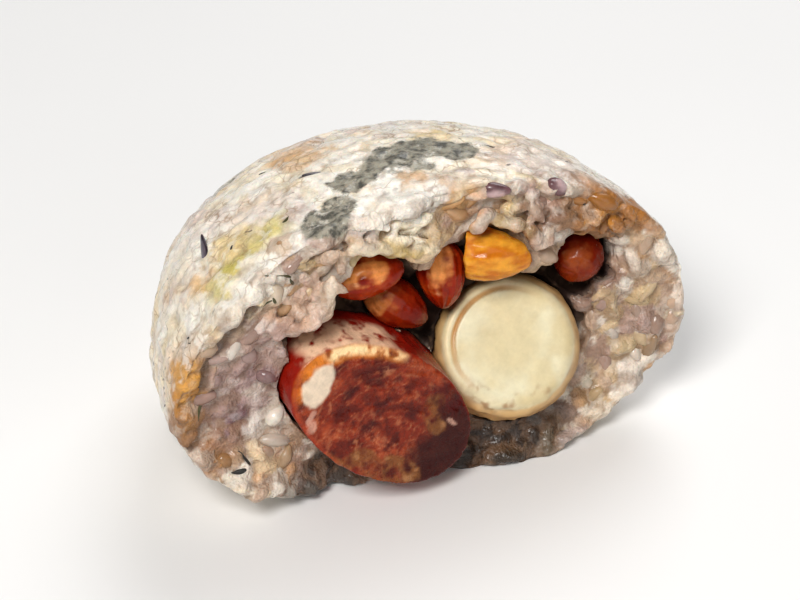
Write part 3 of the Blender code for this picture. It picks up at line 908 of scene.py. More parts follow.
RICE_FINISH = Finish("sticky_rice", (0.20, 0.11, 0.06), mottle_size=1.5 * MM, mottle_amount=0.60,
                     wet=0.20, dry=0.55, relief_size=1.0 * MM, relief_depth=0.12 * MM,
                     flesh=0.25, flesh_depth=1.0 * MM, coat=0.20, coat_roughness=0.08,
                     specular=0.28, leafy=True, varied=True, raw_gain=2.4, crinkle=1.0, marks=1.0)
# painted shade: a dull finish with near-black creases for the deepest gaps
HOLLOW_SHADE_FINISH = Finish("painted_hollow_shade", (0.004, 0.002, 0.001), wet=0.75, dry=0.95, flesh=0.0,
                       coat=0.0, specular=0.04)
GRAIN_FINISH = Finish("loose_rice", (0.30, 0.18, 0.10), mottle_size=1.4 * MM, mottle_amount=0.25,
                      wet=0.16, dry=0.40, relief_size=0.9 * MM, relief_depth=0.06 * MM,
                      flesh=0.35, flesh_depth=1.0 * MM, coat=0.26, coat_roughness=0.10,
                      specular=0.3)
SAUSAGE_FINISH = Finish("cured_sausage", (0.035, 0.004, 0.002), mottle_size=1.5 * MM,
                        mottle_amount=0.40, wet=0.14, dry=0.46, relief_size=0.7 * MM,
                        relief_depth=0.04 * MM, flesh=0.08, flesh_depth=0.6 * MM,
                        flesh_colour=(1.0, 0.3, 0.2), coat=0.22, coat_roughness=0.07,
                        specular=0.10, varied=True, raw_gain=5.0, crinkle=1.0)
CHESTNUT_FINISH = Finish("chestnut_flesh", (0.22, 0.10, 0.035), mottle_size=2.6 * MM,
                         mottle_amount=0.22, wet=0.36, dry=0.55, relief_size=0.7 * MM,
                         relief_depth=0.035 * MM, flesh=0.08, flesh_depth=0.5 * MM, coat=0.10,
                         coat_roughness=0.25, specular=0.35)
PEANUT_FINISH = Finish("peanut_skin", (0.03, 0.001, 0.0005), mottle_size=1.3 * MM,
                       mottle_amount=0.55, wet=0.10, dry=0.30, relief_size=0.8 * MM,
                       relief_depth=0.12 * MM, flesh=0.10, flesh_depth=0.8 * MM,
                       flesh_colour=(1.0, 0.25, 0.1), coat=0.17, coat_roughness=0.05,
                       specular=0.08)
KERNEL_FINISH = Finish("peanut_flesh", (0.30, 0.06, 0.005), mottle_size=1.6 * MM,
                       mottle_amount=0.35, wet=0.14, dry=0.34, relief_size=1.2 * MM,
                       relief_depth=0.10 * MM, flesh=0.30, flesh_depth=1.4 * MM,
                       flesh_colour=(1.0, 0.5, 0.15), coat=0.20, coat_roughness=0.08,
                       specular=0.14)
BEAN_FINISH = Finish("bean_and_grain_skin", (0.02, 0.006, 0.008), mottle_size=1.2 * MM,
                     mottle_amount=0.4, wet=0.14, dry=0.40, relief_size=0.6 * MM,
                     relief_depth=0.06 * MM, flesh=0.15, flesh_depth=0.8 * MM, coat=0.35,
                     coat_roughness=0.10, specular=0.3)
LEAF_FINISH = Finish("leaf_and_greens", (0.03, 0.035, 0.018), mottle_size=0.9 * MM,
                     mottle_amount=0.7, wet=0.30, dry=0.62, relief_size=0.5 * MM,
                     relief_depth=0.10 * MM, relief_strength=0.9, flesh=0.1,
                     flesh_depth=0.6 * MM, coat=0.15, coat_roughness=0.2, specular=0.3)


# ---- the rice
@dataclass
class Grain:
    """One grain of cooked sticky rice, modelled once along X with a half length of 1."""

    segments: int = 8
    rings: int = 6
    slimness: float = 0.46
    flatness: float = GRAIN_FLATNESS
    blunt_from: float = 0.35
    blunt_share: float = 0.80
    points: Array = field(init=False)
    faces: Faces = field(init=False)

    def __post_init__(self) -> None:
        """Model the grain, keep its vertex places and faces, and clear it away."""
        bpy.ops.object.select_all(action="DESELECT")
        bpy.ops.mesh.primitive_uv_sphere_add(segments=self.segments, ring_count=self.rings,
                                             radius=1.0, rotation=(0.0, math.pi / 2.0, 0.0))
        piece = bpy.context.active_object
        bpy.ops.object.transform_apply(location=True, rotation=True, scale=True)
        bpy.ops.object.mode_set(mode="EDIT")
        bpy.ops.mesh.select_all(action="SELECT")
        bpy.ops.transform.resize(value=(1.0, self.slimness, self.slimness * self.flatness))
        bpy.ops.mesh.select_all(action="DESELECT")
        shape = bmesh.from_edit_mesh(piece.data)
        for vert in shape.verts:
            vert.select = vert.co.x > self.blunt_from
        shape.select_flush(True)
        bmesh.update_edit_mesh(piece.data)
        bpy.ops.transform.resize(value=(1.0, self.blunt_share, self.blunt_share))
        bpy.ops.object.mode_set(mode="OBJECT")
        mesh = piece.data
        self.points = read_points(mesh)
        self.faces = [tuple(face.vertices) for face in mesh.polygons]
        bpy.data.objects.remove(piece, do_unlink=True)
        bpy.data.meshes.remove(mesh)


@dataclass
class GrainBed:
    """Where every grain lies, how it looks and how torn the rice is there, one row each."""

    places: Array
    outward: Array
    along: Array
    lengths: Array
    widths: Array
    torn: Array
    tints: Array
    bends: Array

    def some(self, chosen: Array | list[int]) -> "GrainBed":
        """The grains that a mask or a list of their numbers picks."""
        return GrainBed(*(getattr(self, part.name)[chosen] for part in fields(self)))

    def joined(self, other: "GrainBed") -> "GrainBed":
        """These grains and those of another bed."""
        return GrainBed(*(np.concatenate([getattr(self, part.name), getattr(other, part.name)])
                          for part in fields(self)))

    def shapes(self, points: Array) -> Array:
        """Vertex places of every grain, an array of grains by vertices by 3."""
        side = unit(np.cross(self.outward, self.along))
        top = np.cross(self.along, side)
        local_x = points[None, :, 0] * self.lengths[:, None] / 2.0
        width = self.widths[:, None] / 2.0 / np.abs(points[:, 1]).max()
        local_y = points[None, :, 1] * width
        local_z = points[None, :, 2] * width + self.bends[:, None] * local_x ** 2
        return (self.places[:, None, :] + local_x[..., None] * self.along[:, None, :]
                + local_y[..., None] * side[:, None, :] + local_z[..., None] * top[:, None, :])


def joined_mesh(name: str, shapes: Array, faces: Faces) -> Piece:
    """Join copies of one shape into a single piece.

    Args:
        name: name of the piece.
        shapes: an array of copies by vertices by 3.
        faces: faces of one copy.

    Returns:
        The new piece.
    """
    count, size = shapes.shape[:2]
    corners = [len(face) for face in faces]
    loops = np.concatenate([np.array(face) for face in faces])
    all_loops = (loops[None, :] + size * np.arange(count)[:, None]).ravel()
    starts = np.concatenate([[0], np.cumsum(np.tile(corners, count))[:-1]])
    mesh = bpy.data.meshes.new(name)
    mesh.vertices.add(count * size)
    mesh.vertices.foreach_set("co", shapes.astype(np.float32).ravel())
    mesh.loops.add(len(all_loops))
    mesh.loops.foreach_set("vertex_index", all_loops.astype(np.int32))
    mesh.polygons.add(len(corners) * count)
    mesh.polygons.foreach_set("loop_start", starts.astype(np.int32))
    mesh.update(calc_edges=True)
    mesh.validate()
    piece = bpy.data.objects.new(name, mesh)
    link(piece)
    return piece


@dataclass
class Rice:
    """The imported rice: a core with the relief of grains, and loose grains on it."""

    grain: Grain
    seed: int = 20
    scattered: int = 26000
    skin_spacing: float = 2.45 * MM
    face_spacing: float = 2.10 * MM
    grain_length: float = 6.0 * MM
    grain_width: float = 2.75 * MM
    voxel: float = 0.56 * MM
    edge_voxel: float = 0.34 * MM
    # the torn cut leans back from the foot, and the rice behind it counts as sunk in the hollows
    cut_back: float = 5.2 * MM
    cut_lean: float = 0.058
    cut_depth: float = 9.0 * MM
    cut_fade: float = 3.0 * MM
    skin_rim: float = 1.6 * MM
    rim_fade: float = 1.2 * MM
    sunk_from: float = 1.6 * MM
    sunk_to: float = 4.2 * MM
    # relief of the core
    filling_gap: float = 1.0 * MM
    crack_depth: float = 0.7 * MM
    swell: float = 0.35 * MM
    ridge_height: float = 0.30 * MM
    foot_gap: float = 0.02 * MM
    # grains at the edge of the hollow and loose on the cut
    edge_depth: float = 0.55 * MM
    edge_reach: float = 3.0 * MM
    loose_share: float = 0.62
    loose_reach: float = 2.4 * MM
    loose_deepest: float = 1.05 * MM
    loose_shallowest: float = 0.35 * MM
    steepest: float = 0.50
    # no loose grain covers the black grain and the shred low on the left
    bare_place: Triple = (-37.0, 3.0, 12.0)
    bare_radius: float = 4.5 * MM
    datum: Vector = field(init=False)
    solid: Piece = field(init=False)
    skin_tree: BVHTree = field(init=False)
    filling_tree: BVHTree = field(init=False)
    core_tree: BVHTree = field(init=False)

    def __post_init__(self) -> None:
        """Read the rice solid and its neighbours."""
        low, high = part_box("rice")
        self.datum = Vector(((low.x + high.x) / 2.0, low.y, low.z))
        self.solid = copy_of_node("rice", "rice_guide")
        self.skin_tree = self._hull_tree()
        shape = bmesh.new()
        for node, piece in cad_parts.items():
            if node != "rice":
                shape.from_mesh(piece.data)
        self.filling_tree = BVHTree.FromBMesh(shape)
        shape.free()

    def _hull_tree(self) -> BVHTree:
        """Search tree over the convex hull of the rice."""
        shape = bmesh.new()
        shape.from_mesh(self.solid.data)
        made = bmesh.ops.convex_hull(shape, input=shape.verts[:])
        keep = {item for item in made["geom"] if isinstance(item, bmesh.types.BMFace)}
        bmesh.ops.delete(shape, geom=[face for face in shape.faces if face not in keep],
                         context="FACES_ONLY")
        tree = BVHTree.FromBMesh(shape)
        shape.free()
        return tree

    def place(self, across: float, back: float, up: float) -> Array:
        """Point given in millimetres from the datum."""
        return np.array(self.datum + Vector((across, back, up)) * MM)

    def _above_floor(self, points: Array) -> Array:
        """The points, with none of them under the roll's foot."""
        lowest = (-np.inf, -np.inf, self.datum.z + self.foot_gap)
        return np.maximum(points, lowest)

    def torn_share(self, points: Array, normals: Array) -> Array:
        """Tell the torn rice from the skin.

        Args:
            points: places on the rice.
            normals: its outward directions there.

        Returns:
            1 on the torn cut and in the hollows, 0 on the skin, for each point.
        """
        facing = ease((-normals[:, 1] - 0.45) / 0.25)
        front = ease((self.datum.y + self.cut_depth - points[:, 1]) / self.cut_fade)
        inner = ease((distances(self.skin_tree, points) - self.skin_rim) / self.rim_fade)
        return np.maximum(facing * front, inner)

    def sunk_share(self, points: Array) -> Array:
        """1 deep in the hollows behind the cut, where shade is painted, 0 on it."""
        face = self.datum.y + self.cut_back + self.cut_lean * (points[:, 2] - self.datum.z)
        behind = ease((points[:, 1] - face - self.sunk_from) / (self.sunk_to - self.sunk_from))
        return behind * ease((distances(self.skin_tree, points) - 1.8 * MM) / (1.6 * MM))

    def base_tint(self, points: Array, torn: Array) -> Array:
        """Colour of the rice before its grains and stains, for each point."""
        skin = clouded(Tint.GREY, SKIN_CLOUDS, points)
        return blend(skin, (clouded(Tint.FAWN, CUT_CLOUDS, points), torn))

    def stain(self, colours: Array, points: Array) -> Array:
        """Mix the stains into the colours of points."""
        tints = (mark.tint for mark in STAINS)
        return blend(colours, *zip(tints, self.stain_shares(STAINS, points)))

    def stain_shares(self, marks: tuple[Stain, ...], points: Array) -> Array:
        """Strength of stains.

        Args:
            marks: the stains.
            points: where they are looked up.

        Returns:
            A row for each stain, with its strength at each point.
        """
        wobble = layered_noise(points, 4.0 * MM, 21, 4)
        shares = []
        for mark in marks:
            away = np.linalg.norm(points - self.place(*mark.place), axis=1)
            edge = away / (mark.radius * MM) + mark.ragged * wobble
            shares.append(mark.strength * ease((1.10 - edge) / 0.30))
        return np.array(shares)

    def crack_share(self, points: Array) -> Array:
        """1 in the thin cracks, where shade is painted, 0 beside them, for each point."""
        share = np.zeros(len(points))
        wobble = layered_noise(points, 2.4 * MM, 25, 3)
        for start, end, width in CRACKS:
            first, last = self.place(*start), self.place(*end)
            line = last - first
            part = np.clip((points - first) @ line / (line @ line), 0.0, 1.0)
            away = np.linalg.norm(points - first - part[:, None] * line, axis=1) / (width * MM)
            share = np.maximum(share, ease((1.6 - away + 0.8 * wobble) / 0.8))
        return share

    def leaf_share(self, points: Array) -> Array:
        """How much leaf lies on the rice at each point."""
        streaks = layered_noise(points * (0.55, 1.0, 1.0), 2.6 * MM, 27, 4)
        return self.stain_shares(LEAVES, points).max(axis=0) * ease(1.35 + 1.7 * streaks)

    def shaded_share(self, points: Array) -> Array:
        """How deep in the shade of the fillings each point lies."""
        shaded = tuple(mark for mark in STAINS if mark.tint is Tint.SHADED)
        return self.stain_shares(shaded, points).max(axis=0)

    def _scatter(self, rng: np.random.Generator) -> tuple[Array, Array, Array]:
        """Spots spread evenly over the rice solid and off the fillings.

        Args:
            rng: source of the random draws.

        Returns:
            The spots, the outward direction at each, and how torn the rice is there.
        """
        mesh = self.solid.data
        points = read_points(mesh)
        mesh.calc_loop_triangles()
        corners = np.array([tri.vertices for tri in mesh.loop_triangles])
        first, second, third = (points[corners[:, n]] for n in range(3))
        cross = np.cross(second - first, third - first)
        area = np.linalg.norm(cross, axis=1)
        chosen = rng.choice(len(corners), size=self.scattered, p=area / area.sum())
        share = rng.random((len(chosen), 2))
        flip = share.sum(axis=1) > 1.0
        share[flip] = 1.0 - share[flip]
        spots = (first[chosen] + (second - first)[chosen] * share[:, :1]
                 + (third - first)[chosen] * share[:, 1:])
        normals = cross[chosen] / area[chosen, None]
        torn = self.torn_share(spots, normals)
        spacing = self.skin_spacing + (self.face_spacing - self.skin_spacing) * torn
        kept = np.array(self._thin_out(spots, spacing))
        kept = kept[distances(self.filling_tree, spots[kept]) > self.filling_gap]
        return spots[kept], normals[kept], torn[kept]

    def lay_grains(self) -> GrainBed:
        """Lay grains over the rice solid, flat in the skin and at all angles in the cut."""
        rng = np.random.default_rng(self.seed)
        spots, normals, torn = self._scatter(rng)
        count = len(spots)
        clump = layered_noise(spots, 6.5 * MM, 37, 2)
        swirl = np.stack([lattice_noise(spots, 14.0 * MM, seed) for seed in (31, 32, 33)], axis=1)
        along = unit(levelled(swirl * 0.7 + rng.normal(size=(count, 3)) * 0.6, normals))
        tilt = rng.normal(size=count) * (0.07 + 0.55 * torn)
        along = along * np.cos(tilt)[:, None] + normals * np.sin(tilt)[:, None]
        outward = unit(levelled(normals, along))
        lengths = self.grain_length * rng.uniform(0.78, 1.15, count) * (1.0 - 0.12 * torn)
        widths = self.grain_width * rng.uniform(0.82, 1.25, count)
        proud = rng.uniform(-0.30, 0.04, count) * MM * (1.0 - torn)
        proud += (rng.uniform(-0.60, 0.30, count) + 0.8 * clump) * MM * torn
        reach = np.abs((along * normals).sum(axis=1)) * lengths / 2.0 * 0.80
        inset = widths / 2.0 * GRAIN_FLATNESS + reach - proud
        places = spots - normals * inset[:, None]
        tints = self.base_tint(places, torn)
        tints *= 1.0 + 0.10 * rng.normal(size=(count, 1)) * (0.5 + torn[:, None])
        pick = rng.random(count)
        tints = blend(tints, (Tint.MAUVE, (pick < 0.09) * 0.75),
                      (Tint.AMBER, ((pick > 0.09) & (pick < 0.15)) * (0.15 + 0.4 * torn)),
                      (Tint.CREAM, ((pick > 0.15) & (pick < 0.35)) * 0.6),
                      (Tint.WHITE, (pick > 0.80) * 0.85))
        tints = self.stain(tints, spots)
        bends = rng.normal(size=count) * 22.0
        return GrainBed(places, outward, along, lengths, widths, torn, tints, bends)

    def _thin_out(self, spots: Array, spacing: Array) -> list[int]:
        """Thin out spots that lie too close together.

        Args:
            spots: the spots, the first ones kept first.
            spacing: least distance of each from those kept before it.

        Returns:
            Numbers of the spots that are kept.
        """
        taken: dict[tuple[int, int, int], list[int]] = {}
        kept: list[int] = []
        cells = np.floor(spots / self.face_spacing).astype(int).tolist()
        steps = list(product(range(-2, 3), repeat=3))
        for number, ((x, y, z), spot, least) in enumerate(zip(cells, spots, spacing)):
            near = (other for i, j, k in steps for other in taken.get((x + i, y + j, z + k), ()))
            if all(((spots[other] - spot) ** 2).sum() >= least * least for other in near):
                kept.append(number)
                taken.setdefault((x, y, z), []).append(number)
        return kept

    def _relief(self, bed: GrainBed, points: Array, normals: Array) -> tuple[Array, Array, Array]:
        """Relief of the grains pressed into a surface.

        Args:
            bed: the grains.
            points: places on the surface.
            normals: its outward directions there.

        Returns:
            Height above each point, number of the grain on top of it, and how far out on that
            grain the point lies, 1 at the grain's edge.
        """
        tree = KDTree(len(bed.places) * 3)
        for number, (spot, along, length) in enumerate(zip(bed.places, bed.along, bed.lengths)):
            for step in (-0.3, 0.0, 0.3):
                tree.insert(spot + along * length * step, number)
        tree.balance()
        near = np.array([[found[1] for found in tree.find_n(point, 9)] for point in points])
        height, reach = np.full(len(points), -1.0), np.ones(len(points))
        owner = np.zeros(len(points), dtype=int)
        for column in near.T:
            apart = points - bed.places[column]
            along = bed.along[column]
            rise = (along * normals).sum(axis=1)
            level = along - rise[:, None] * normals
            run = np.maximum((level * level).sum(axis=1), 0.12)
            side = np.cross(normals, level) / np.sqrt(run)[:, None]
            half_long = bed.lengths[column] / 2.0
            step = (apart * level).sum(axis=1) / run
            sideways = (apart * side).sum(axis=1) / (bed.widths[column] / 2.0)
            out = np.hypot(step / half_long, sideways)
            half = bed.widths[column] / 2.0 * GRAIN_FLATNESS
            top = half * (np.sqrt(np.clip(1.0 - out ** 2, 0.0, 1.0))
                          - 0.9 * np.clip(out - 1.0, 0.0, 1.5)) - (apart * normals).sum(axis=1)
            top += np.clip(step, -half_long, half_long) * rise
            better = top > height
            height[better], owner[better], reach[better] = top[better], column[better], out[better]
        return height, owner, reach

    def _core_height(self, mesh: Mesh, height: Array, torn: Array) -> Array:
        """Height of the core's surface over its smooth shape.

        Args:
            mesh: the smooth core.
            height: relief of the grains at each vertex.
            torn: how torn the rice is there.

        Returns:
            Height of each vertex. Grains melt together in the skin and stay ragged in the cut.
        """
        points, edges = read_points(mesh), read_edges(mesh)
        apart = distances(self.filling_tree, points)
        clear = ease((apart - self.filling_gap) / (0.8 * MM))
        height = np.clip(height, (-0.3 - clear) * MM, (0.1 + (0.5 + 0.4 * torn) * clear) * MM)
        melt = 0.68 + 0.30 * layered_noise(points, 8.0 * MM, 45, 2)
        height = spread(height, edges, 2) * (1.0 - torn) * melt + spread(height, edges, 1) * torn
        height += layered_noise(points, 9.0 * MM, 43, 2) * self.swell * (1.0 - torn)
        height += layered_noise(points, 1.5 * MM, 41, 2) * (0.07 + 0.14 * torn) * MM
        ridges = 1.0 - 2.4 * np.abs(layered_noise(points, 3.2 * MM, 44, 3))
        return height + ridges * self.ridge_height * torn * clear

    def _core_tints(self, points: Array, torn: Array, grains: Array, sunk: Array,
                    cracks: Array) -> Array:
        """Colour of each vertex of the core.

        Args:
            points: the vertices, with their relief.
            torn: how torn the rice is there.
            grains: colour of the grain on top there.
            sunk: how deep in the hollows they lie.
            cracks: how deep in a crack they lie.

        Returns:
            The colours, with specks and browned spots, and painted shade in the cracks and deep in the
            hollows.
        """
        shared = self.stain(self.base_tint(points, torn), points)
        tints = blend(shared, (grains, 0.48 + 0.14 * torn))
        tints *= 1.0 + 0.16 * layered_noise(points, 2.0 * MM, 51)[:, None]
        specks = ease((lattice_noise(points, 1.3 * MM, 55) - 0.52) / 0.15)
        specks *= ease(layered_noise(points, 7.0 * MM, 57) * 2.0 + 0.2)
        browned = ease(layered_noise(points, 1.3 * MM, 59, 2) * 2.6 - 0.9)
        # the cracks and the hollows get painted shade; specks and browned spots are the rice's own
        # colour
        return blend(tints, (Tint.SPECK, specks * 0.60), (Tint.CRACK, cracks * 0.80),
                     (Tint.SOAKED, sunk * 0.97), (Tint.BROWNED, browned * 0.40))

    def build_core(self, bed: GrainBed, material: Material, hollow: Material) -> Piece:
        """Model the body of pressed rice with the relief and colours of its grains.

        Args:
            bed: the grains.
            material: finish of the rice.
            hollow: dull finish deep in the gaps between the fillings, part of their painted shade.

        Returns:
            The new piece.
        """
        core = fine_copy("rice", "rice_core", self.voxel, 3)
        mesh = core.data
        points, normals = read_points(mesh), read_normals(mesh)
        torn = spread(self.torn_share(points, normals), read_edges(mesh), 3)
        height, owner, reach = self._relief(bed, points, normals)
        cracks = self.crack_share(points)
        height = self._core_height(mesh, height, torn) - self.crack_depth * cracks
        moved = self._above_floor(points + normals * height[:, None])
        write_points(mesh, moved)

        sunk = self.sunk_share(moved)
        patchy = ease(0.55 + 0.9 * layered_noise(moved, 5.0 * MM, 53))
        # painted shade: the seams between grains and the folds darken through the crease
        seams = ease((reach - 0.80) / 0.40) * (0.31 * patchy * (1.0 - torn) + 0.50 * torn)
        folds = ease(hollowness(mesh, 0.30 * MM, 5)) * (0.25 + 0.35 * torn)
        tints = self._core_tints(moved, torn, bed.tints[owner], sunk, cracks)
        calm = np.max([sunk, 0.65 * torn, self.shaded_share(moved)], axis=0)
        dress(core, material, tints, np.maximum(seams, folds), leaf=self.leaf_share(moved),
              raw=torn, calm=calm)
        self.core_tree = bvh_of(core)
        # faces that are sunk at most of their four corners get the hollow's dull finish, part of the
        # painted shade there
        mesh.materials.append(hollow)
        deep = [sum(sunk[vert] for vert in face.vertices) > 2.4 for face in mesh.polygons]
        mesh.polygons.foreach_set("material_index", np.array(deep, dtype=np.int32))
        return core

    def edge_bed(self, seated: bool) -> GrainBed:
        """Grains at the edge of the hollow.

        Args:
            seated: whether the grains that lie on the torn face are wanted, not those that hang
                over the fillings.

        Returns:
            The grains.
        """
        rng = np.random.default_rng(self.seed + 2 + seated)
        clumps = [grain for grain in EDGE_GRAINS if grain.seated == seated]
        grains = [grain for grain in clumps for _ in range(grain.clump)]
        order = np.array([number for grain in clumps for number in range(grain.clump)])
        loose = np.where(order == 0, 0.35, 1.7 if seated else 1.0)[:, None]
        places = np.array([self.place(*grain.place) for grain in grains])
        away = unit((places - self.place(*HOLLOW_MIDDLE)) * (1.0, 0.0, 1.0))
        places += rng.normal(size=places.shape) * MM * loose
        if not seated:
            places += away * (MM * order)[:, None]
            places[:, 1] += (1.0 + 0.45 * order) * MM
        kept = []
        for number, place in enumerate(places):
            spot, normal, _, apart = self.core_tree.find_nearest(Vector(place))
            if seated or order[number] > 1:
                places[number] = np.array(spot - normal * self.edge_depth)
                if normal.y > -self.steepest or (seated and apart > self.edge_reach):
                    continue
            kept.append(number)
        places, loose = places[kept], loose[kept]
        grains = [grains[number] for number in kept]
        count = len(grains)
        turns = np.radians([grain.turn for grain in grains])
        turns += rng.normal(size=count) * 0.7 * loose[:, 0]
        along = unit(np.stack([np.cos(turns), rng.normal(size=count) * 0.45, np.sin(turns)], axis=1))
        outward = unit(levelled(np.array([0.0, -1.0, 0.0]), along))
        lengths = np.array([grain.length for grain in grains]) * MM * rng.uniform(0.8, 1.1, count)
        widths = self.grain_width * rng.uniform(0.75, 1.15, count)
        tints = np.array([grain.tint.value for grain in grains])
        share = 0.35 if seated else 0.50
        shared = self.stain(self.base_tint(places, np.ones(count)), places)
        tints = tints * share + shared * (1.0 - share)
        tints *= (0.92 if seated else 1.0) + 0.16 * rng.normal(size=(count, 1))
        white = (rng.random(count) > 0.86) * (0.0 if seated else 0.5)
        return GrainBed(places, outward, along, lengths, widths, np.ones(count),
                        blend(tints, (Tint.WHITE, white)), rng.normal(size=count) * 25.0)

    def build_edge(self, material: Material) -> Piece:
        """Fuse the clumped grains at the edge of the hollow into soft lumps."""
        bed = self.edge_bed(False)
        piece = joined_mesh("edge_clumps", bed.shapes(self.grain.points), self.grain.faces)
        apply_modifier(piece, "REMESH", mode="VOXEL", voxel_size=self.edge_voxel, adaptivity=0.0)
        mesh = piece.data
        edges = read_edges(mesh)
        moved = spread(read_points(mesh), edges, 2)
        write_points(mesh, moved)
        ripples = 0.05 + 0.20 * layered_noise(moved, 1.7 * MM, 46)
        moved += read_normals(mesh) * ripples[:, None] * MM
        write_points(mesh, moved)
        _, owner, _ = self._relief(bed, moved, read_normals(mesh))
        torn = np.ones(len(moved))
        tints = self.stain(self.base_tint(moved, torn), moved)
        tints = spread(bed.tints[owner], edges, 2) * 0.65 + tints * 0.35
        tints *= 1.0 + 0.18 * layered_noise(moved, 1.8 * MM, 51)[:, None]
        # painted shade in the creases between the fused grains
        crease = ease(hollowness(mesh, 0.18 * MM, 6)) * 0.75
        return dress(piece, material, tints, crease, leaf=0.0 * torn, raw=0.8 * torn,
                     calm=0.65 * torn)

    def loose_bed(self, bed: GrainBed) -> GrainBed:
        """Grains of a bed, and those of the edge, that stand out of the torn face.

        Args:
            bed: all grains of the rice.

        Returns:
            The grains that show, set on the core and clear of each other.
        """
        rng = np.random.default_rng(self.seed + 1)
        pick = rng.random(len(bed.places))
        shown = (pick < self.loose_share) & (bed.torn > 0.6)
        shown &= (self.sunk_share(bed.places) < 0.15) & (self.leaf_share(bed.places) < 0.10)
        shown &= self.shaded_share(bed.places) < 0.20
        bare = np.linalg.norm(bed.places - self.place(*self.bare_place), axis=1)
        shown &= bare > self.bare_radius
        hits = [self.core_tree.find_nearest(Vector(spot)) for spot in bed.places]
        shown &= np.array([hit[3] < self.loose_reach and hit[1].y < -self.steepest for hit in hits])
        bed = bed.some(shown).joined(self.edge_bed(True))
        hits = [self.core_tree.find_nearest(Vector(spot)) for spot in bed.places]
        facing = np.array([hit[1] for hit in hits])
        level = rng.uniform(-self.loose_deepest, -self.loose_shallowest, (len(hits), 1))
        bed.places = np.array([hit[0] for hit in hits]) + facing * level
        bed.along = unit(levelled(bed.along, facing, 0.65))
        bed.outward = unit(levelled(facing, bed.along))
        return bed.some(self._thin_out(bed.places, np.full(len(bed.places), self.skin_spacing)))

    def build_loose(self, bed: GrainBed, material: Material) -> list[Piece]:
        """Make real grains, one piece for each kind.

        Args:
            bed: the loose grains.
            material: their finish.

        Returns:
            The new pieces.
        """
        shapes = bed.shapes(self.grain.points)
        shared = self.stain(self.base_tint(bed.places, bed.torn), bed.places)
        tints = (bed.tints * 0.62 + shared * 0.38) * 0.95
        light, warm = tints.mean(axis=1), tints[:, 0] - tints[:, 2]
        mauve = (light < 0.42) & (warm < 0.24)
        amber = ~mauve & (warm >= 0.34)
        made = []
        for name, mask in (("mauve_grains", mauve), ("amber_grains", amber),
                           ("white_grains", ~mauve & ~amber)):
            chosen = shapes[mask]
            middles = chosen.mean(axis=1, keepdims=True)
            chosen = self._above_floor(chosen)
            places = chosen.reshape(-1, 3)
            uneven = 1.0 + 0.09 * lattice_noise(places, 1.6 * MM, 61)
            chosen = middles + (chosen - middles) * uneven.reshape(chosen.shape[:2])[..., None]
            piece = joined_mesh(name, chosen, self.grain.faces)
            colours = np.repeat(tints[mask], len(self.grain.points), axis=0)
            colours *= (0.86 + 0.16 * lattice_noise(places, 1.3 * MM, 63))[:, None]
            made.append(dress(piece, material, colours, np.zeros(len(places))))
        return made


# ---- the fillings
Lump = tuple[float, float, float, float]


@dataclass
class SausageCut:
    """Where points lie in the sausage's cut, along its wide and its thick side, and its fibres.

    Places in the cut and the rim are shares of its half sizes, and the angle is degrees.
    """

    points: Array
    wide: Array
    thick: Array
    on_cut: Array
    warp: Array = field(init=False)
    rim: Array = field(init=False)
    angle: Array = field(init=False)
    fibres: Array = field(init=False)
    strands: Array = field(init=False)
    threads: Array = field(init=False)
    flecks: Array = field(init=False)
    cloud: Array = field(init=False)

    def __post_init__(self) -> None:
        """Work out the rings and the fibres of the cut."""
        points = self.points
        self.warp = np.stack([layered_noise(points, 4.0 * MM, seed, 4) for seed in (71, 72)], axis=1)
        self.rim = np.hypot(self.wide, self.thick) + 0.05 * self.warp[:, 0]
        self.angle = np.degrees(np.arctan2(self.thick, self.wide)) % 360.0 + 8.0 * self.warp[:, 1]
        swirl_wide, swirl_thick = self.wide - 0.30, 0.62 * (self.thick + 0.5)
        arcs = np.stack([np.arctan2(swirl_thick, swirl_wide) * 5.0 + self.warp[:, 0] * 1.2,
                         points[:, 1] / MM * 0.15,
                         np.hypot(swirl_wide, swirl_thick) * 26.0 + self.warp[:, 1] * 1.6], axis=1)
        self.fibres = 0.62 * layered_noise(arcs, 2.2, 75, 4)
        self.fibres += 0.55 * layered_noise(points * (1.0, 1.0, 1.4), 2.6 * MM, 76, 4)
        self.strands = 1.0 - 2.2 * np.abs(layered_noise(arcs, 1.3, 77, 2))
        self.threads = 1.0 - 3.0 * np.abs(layered_noise(arcs * 2.1, 1.5, 78, 3))
        self.flecks = layered_noise(points, 1.5 * MM, 79, 3)
        self.cloud = layered_noise(points, 5.0 * MM, 81, 2)

    def lumps(self, spots: tuple[Lump, ...], ragged: float, soft: float = 0.45) -> Array:
        """1 in any of the listed lumps of the cut, 0 outside."""
        inside = np.zeros(len(self.points))
        for at_wide, at_thick, half_wide, half_thick in spots:
            away = np.hypot((self.wide - at_wide) / half_wide + ragged * self.warp[:, 0],
                            (self.thick - at_thick) / half_thick + ragged * self.warp[:, 1])
            inside = np.maximum(inside, ease((1.20 - away) / soft))
        return inside * self.on_cut

    def turn(self, start: float, stop: float) -> Array:
        """1 between two angles in degrees, counted from the wide side's end."""
        return ease((self.angle - start) / 14.0) * ease((stop - self.angle) / 14.0)

    def arc(self, start: float, stop: float, inner: float, outer: float) -> Array:
        """1 in a part of a ring, between two angles in degrees and two shares of the rim."""
        ring = ease((self.rim - inner) / 0.09) * ease((outer - self.rim) / 0.06)
        return self.turn(start, stop) * ring


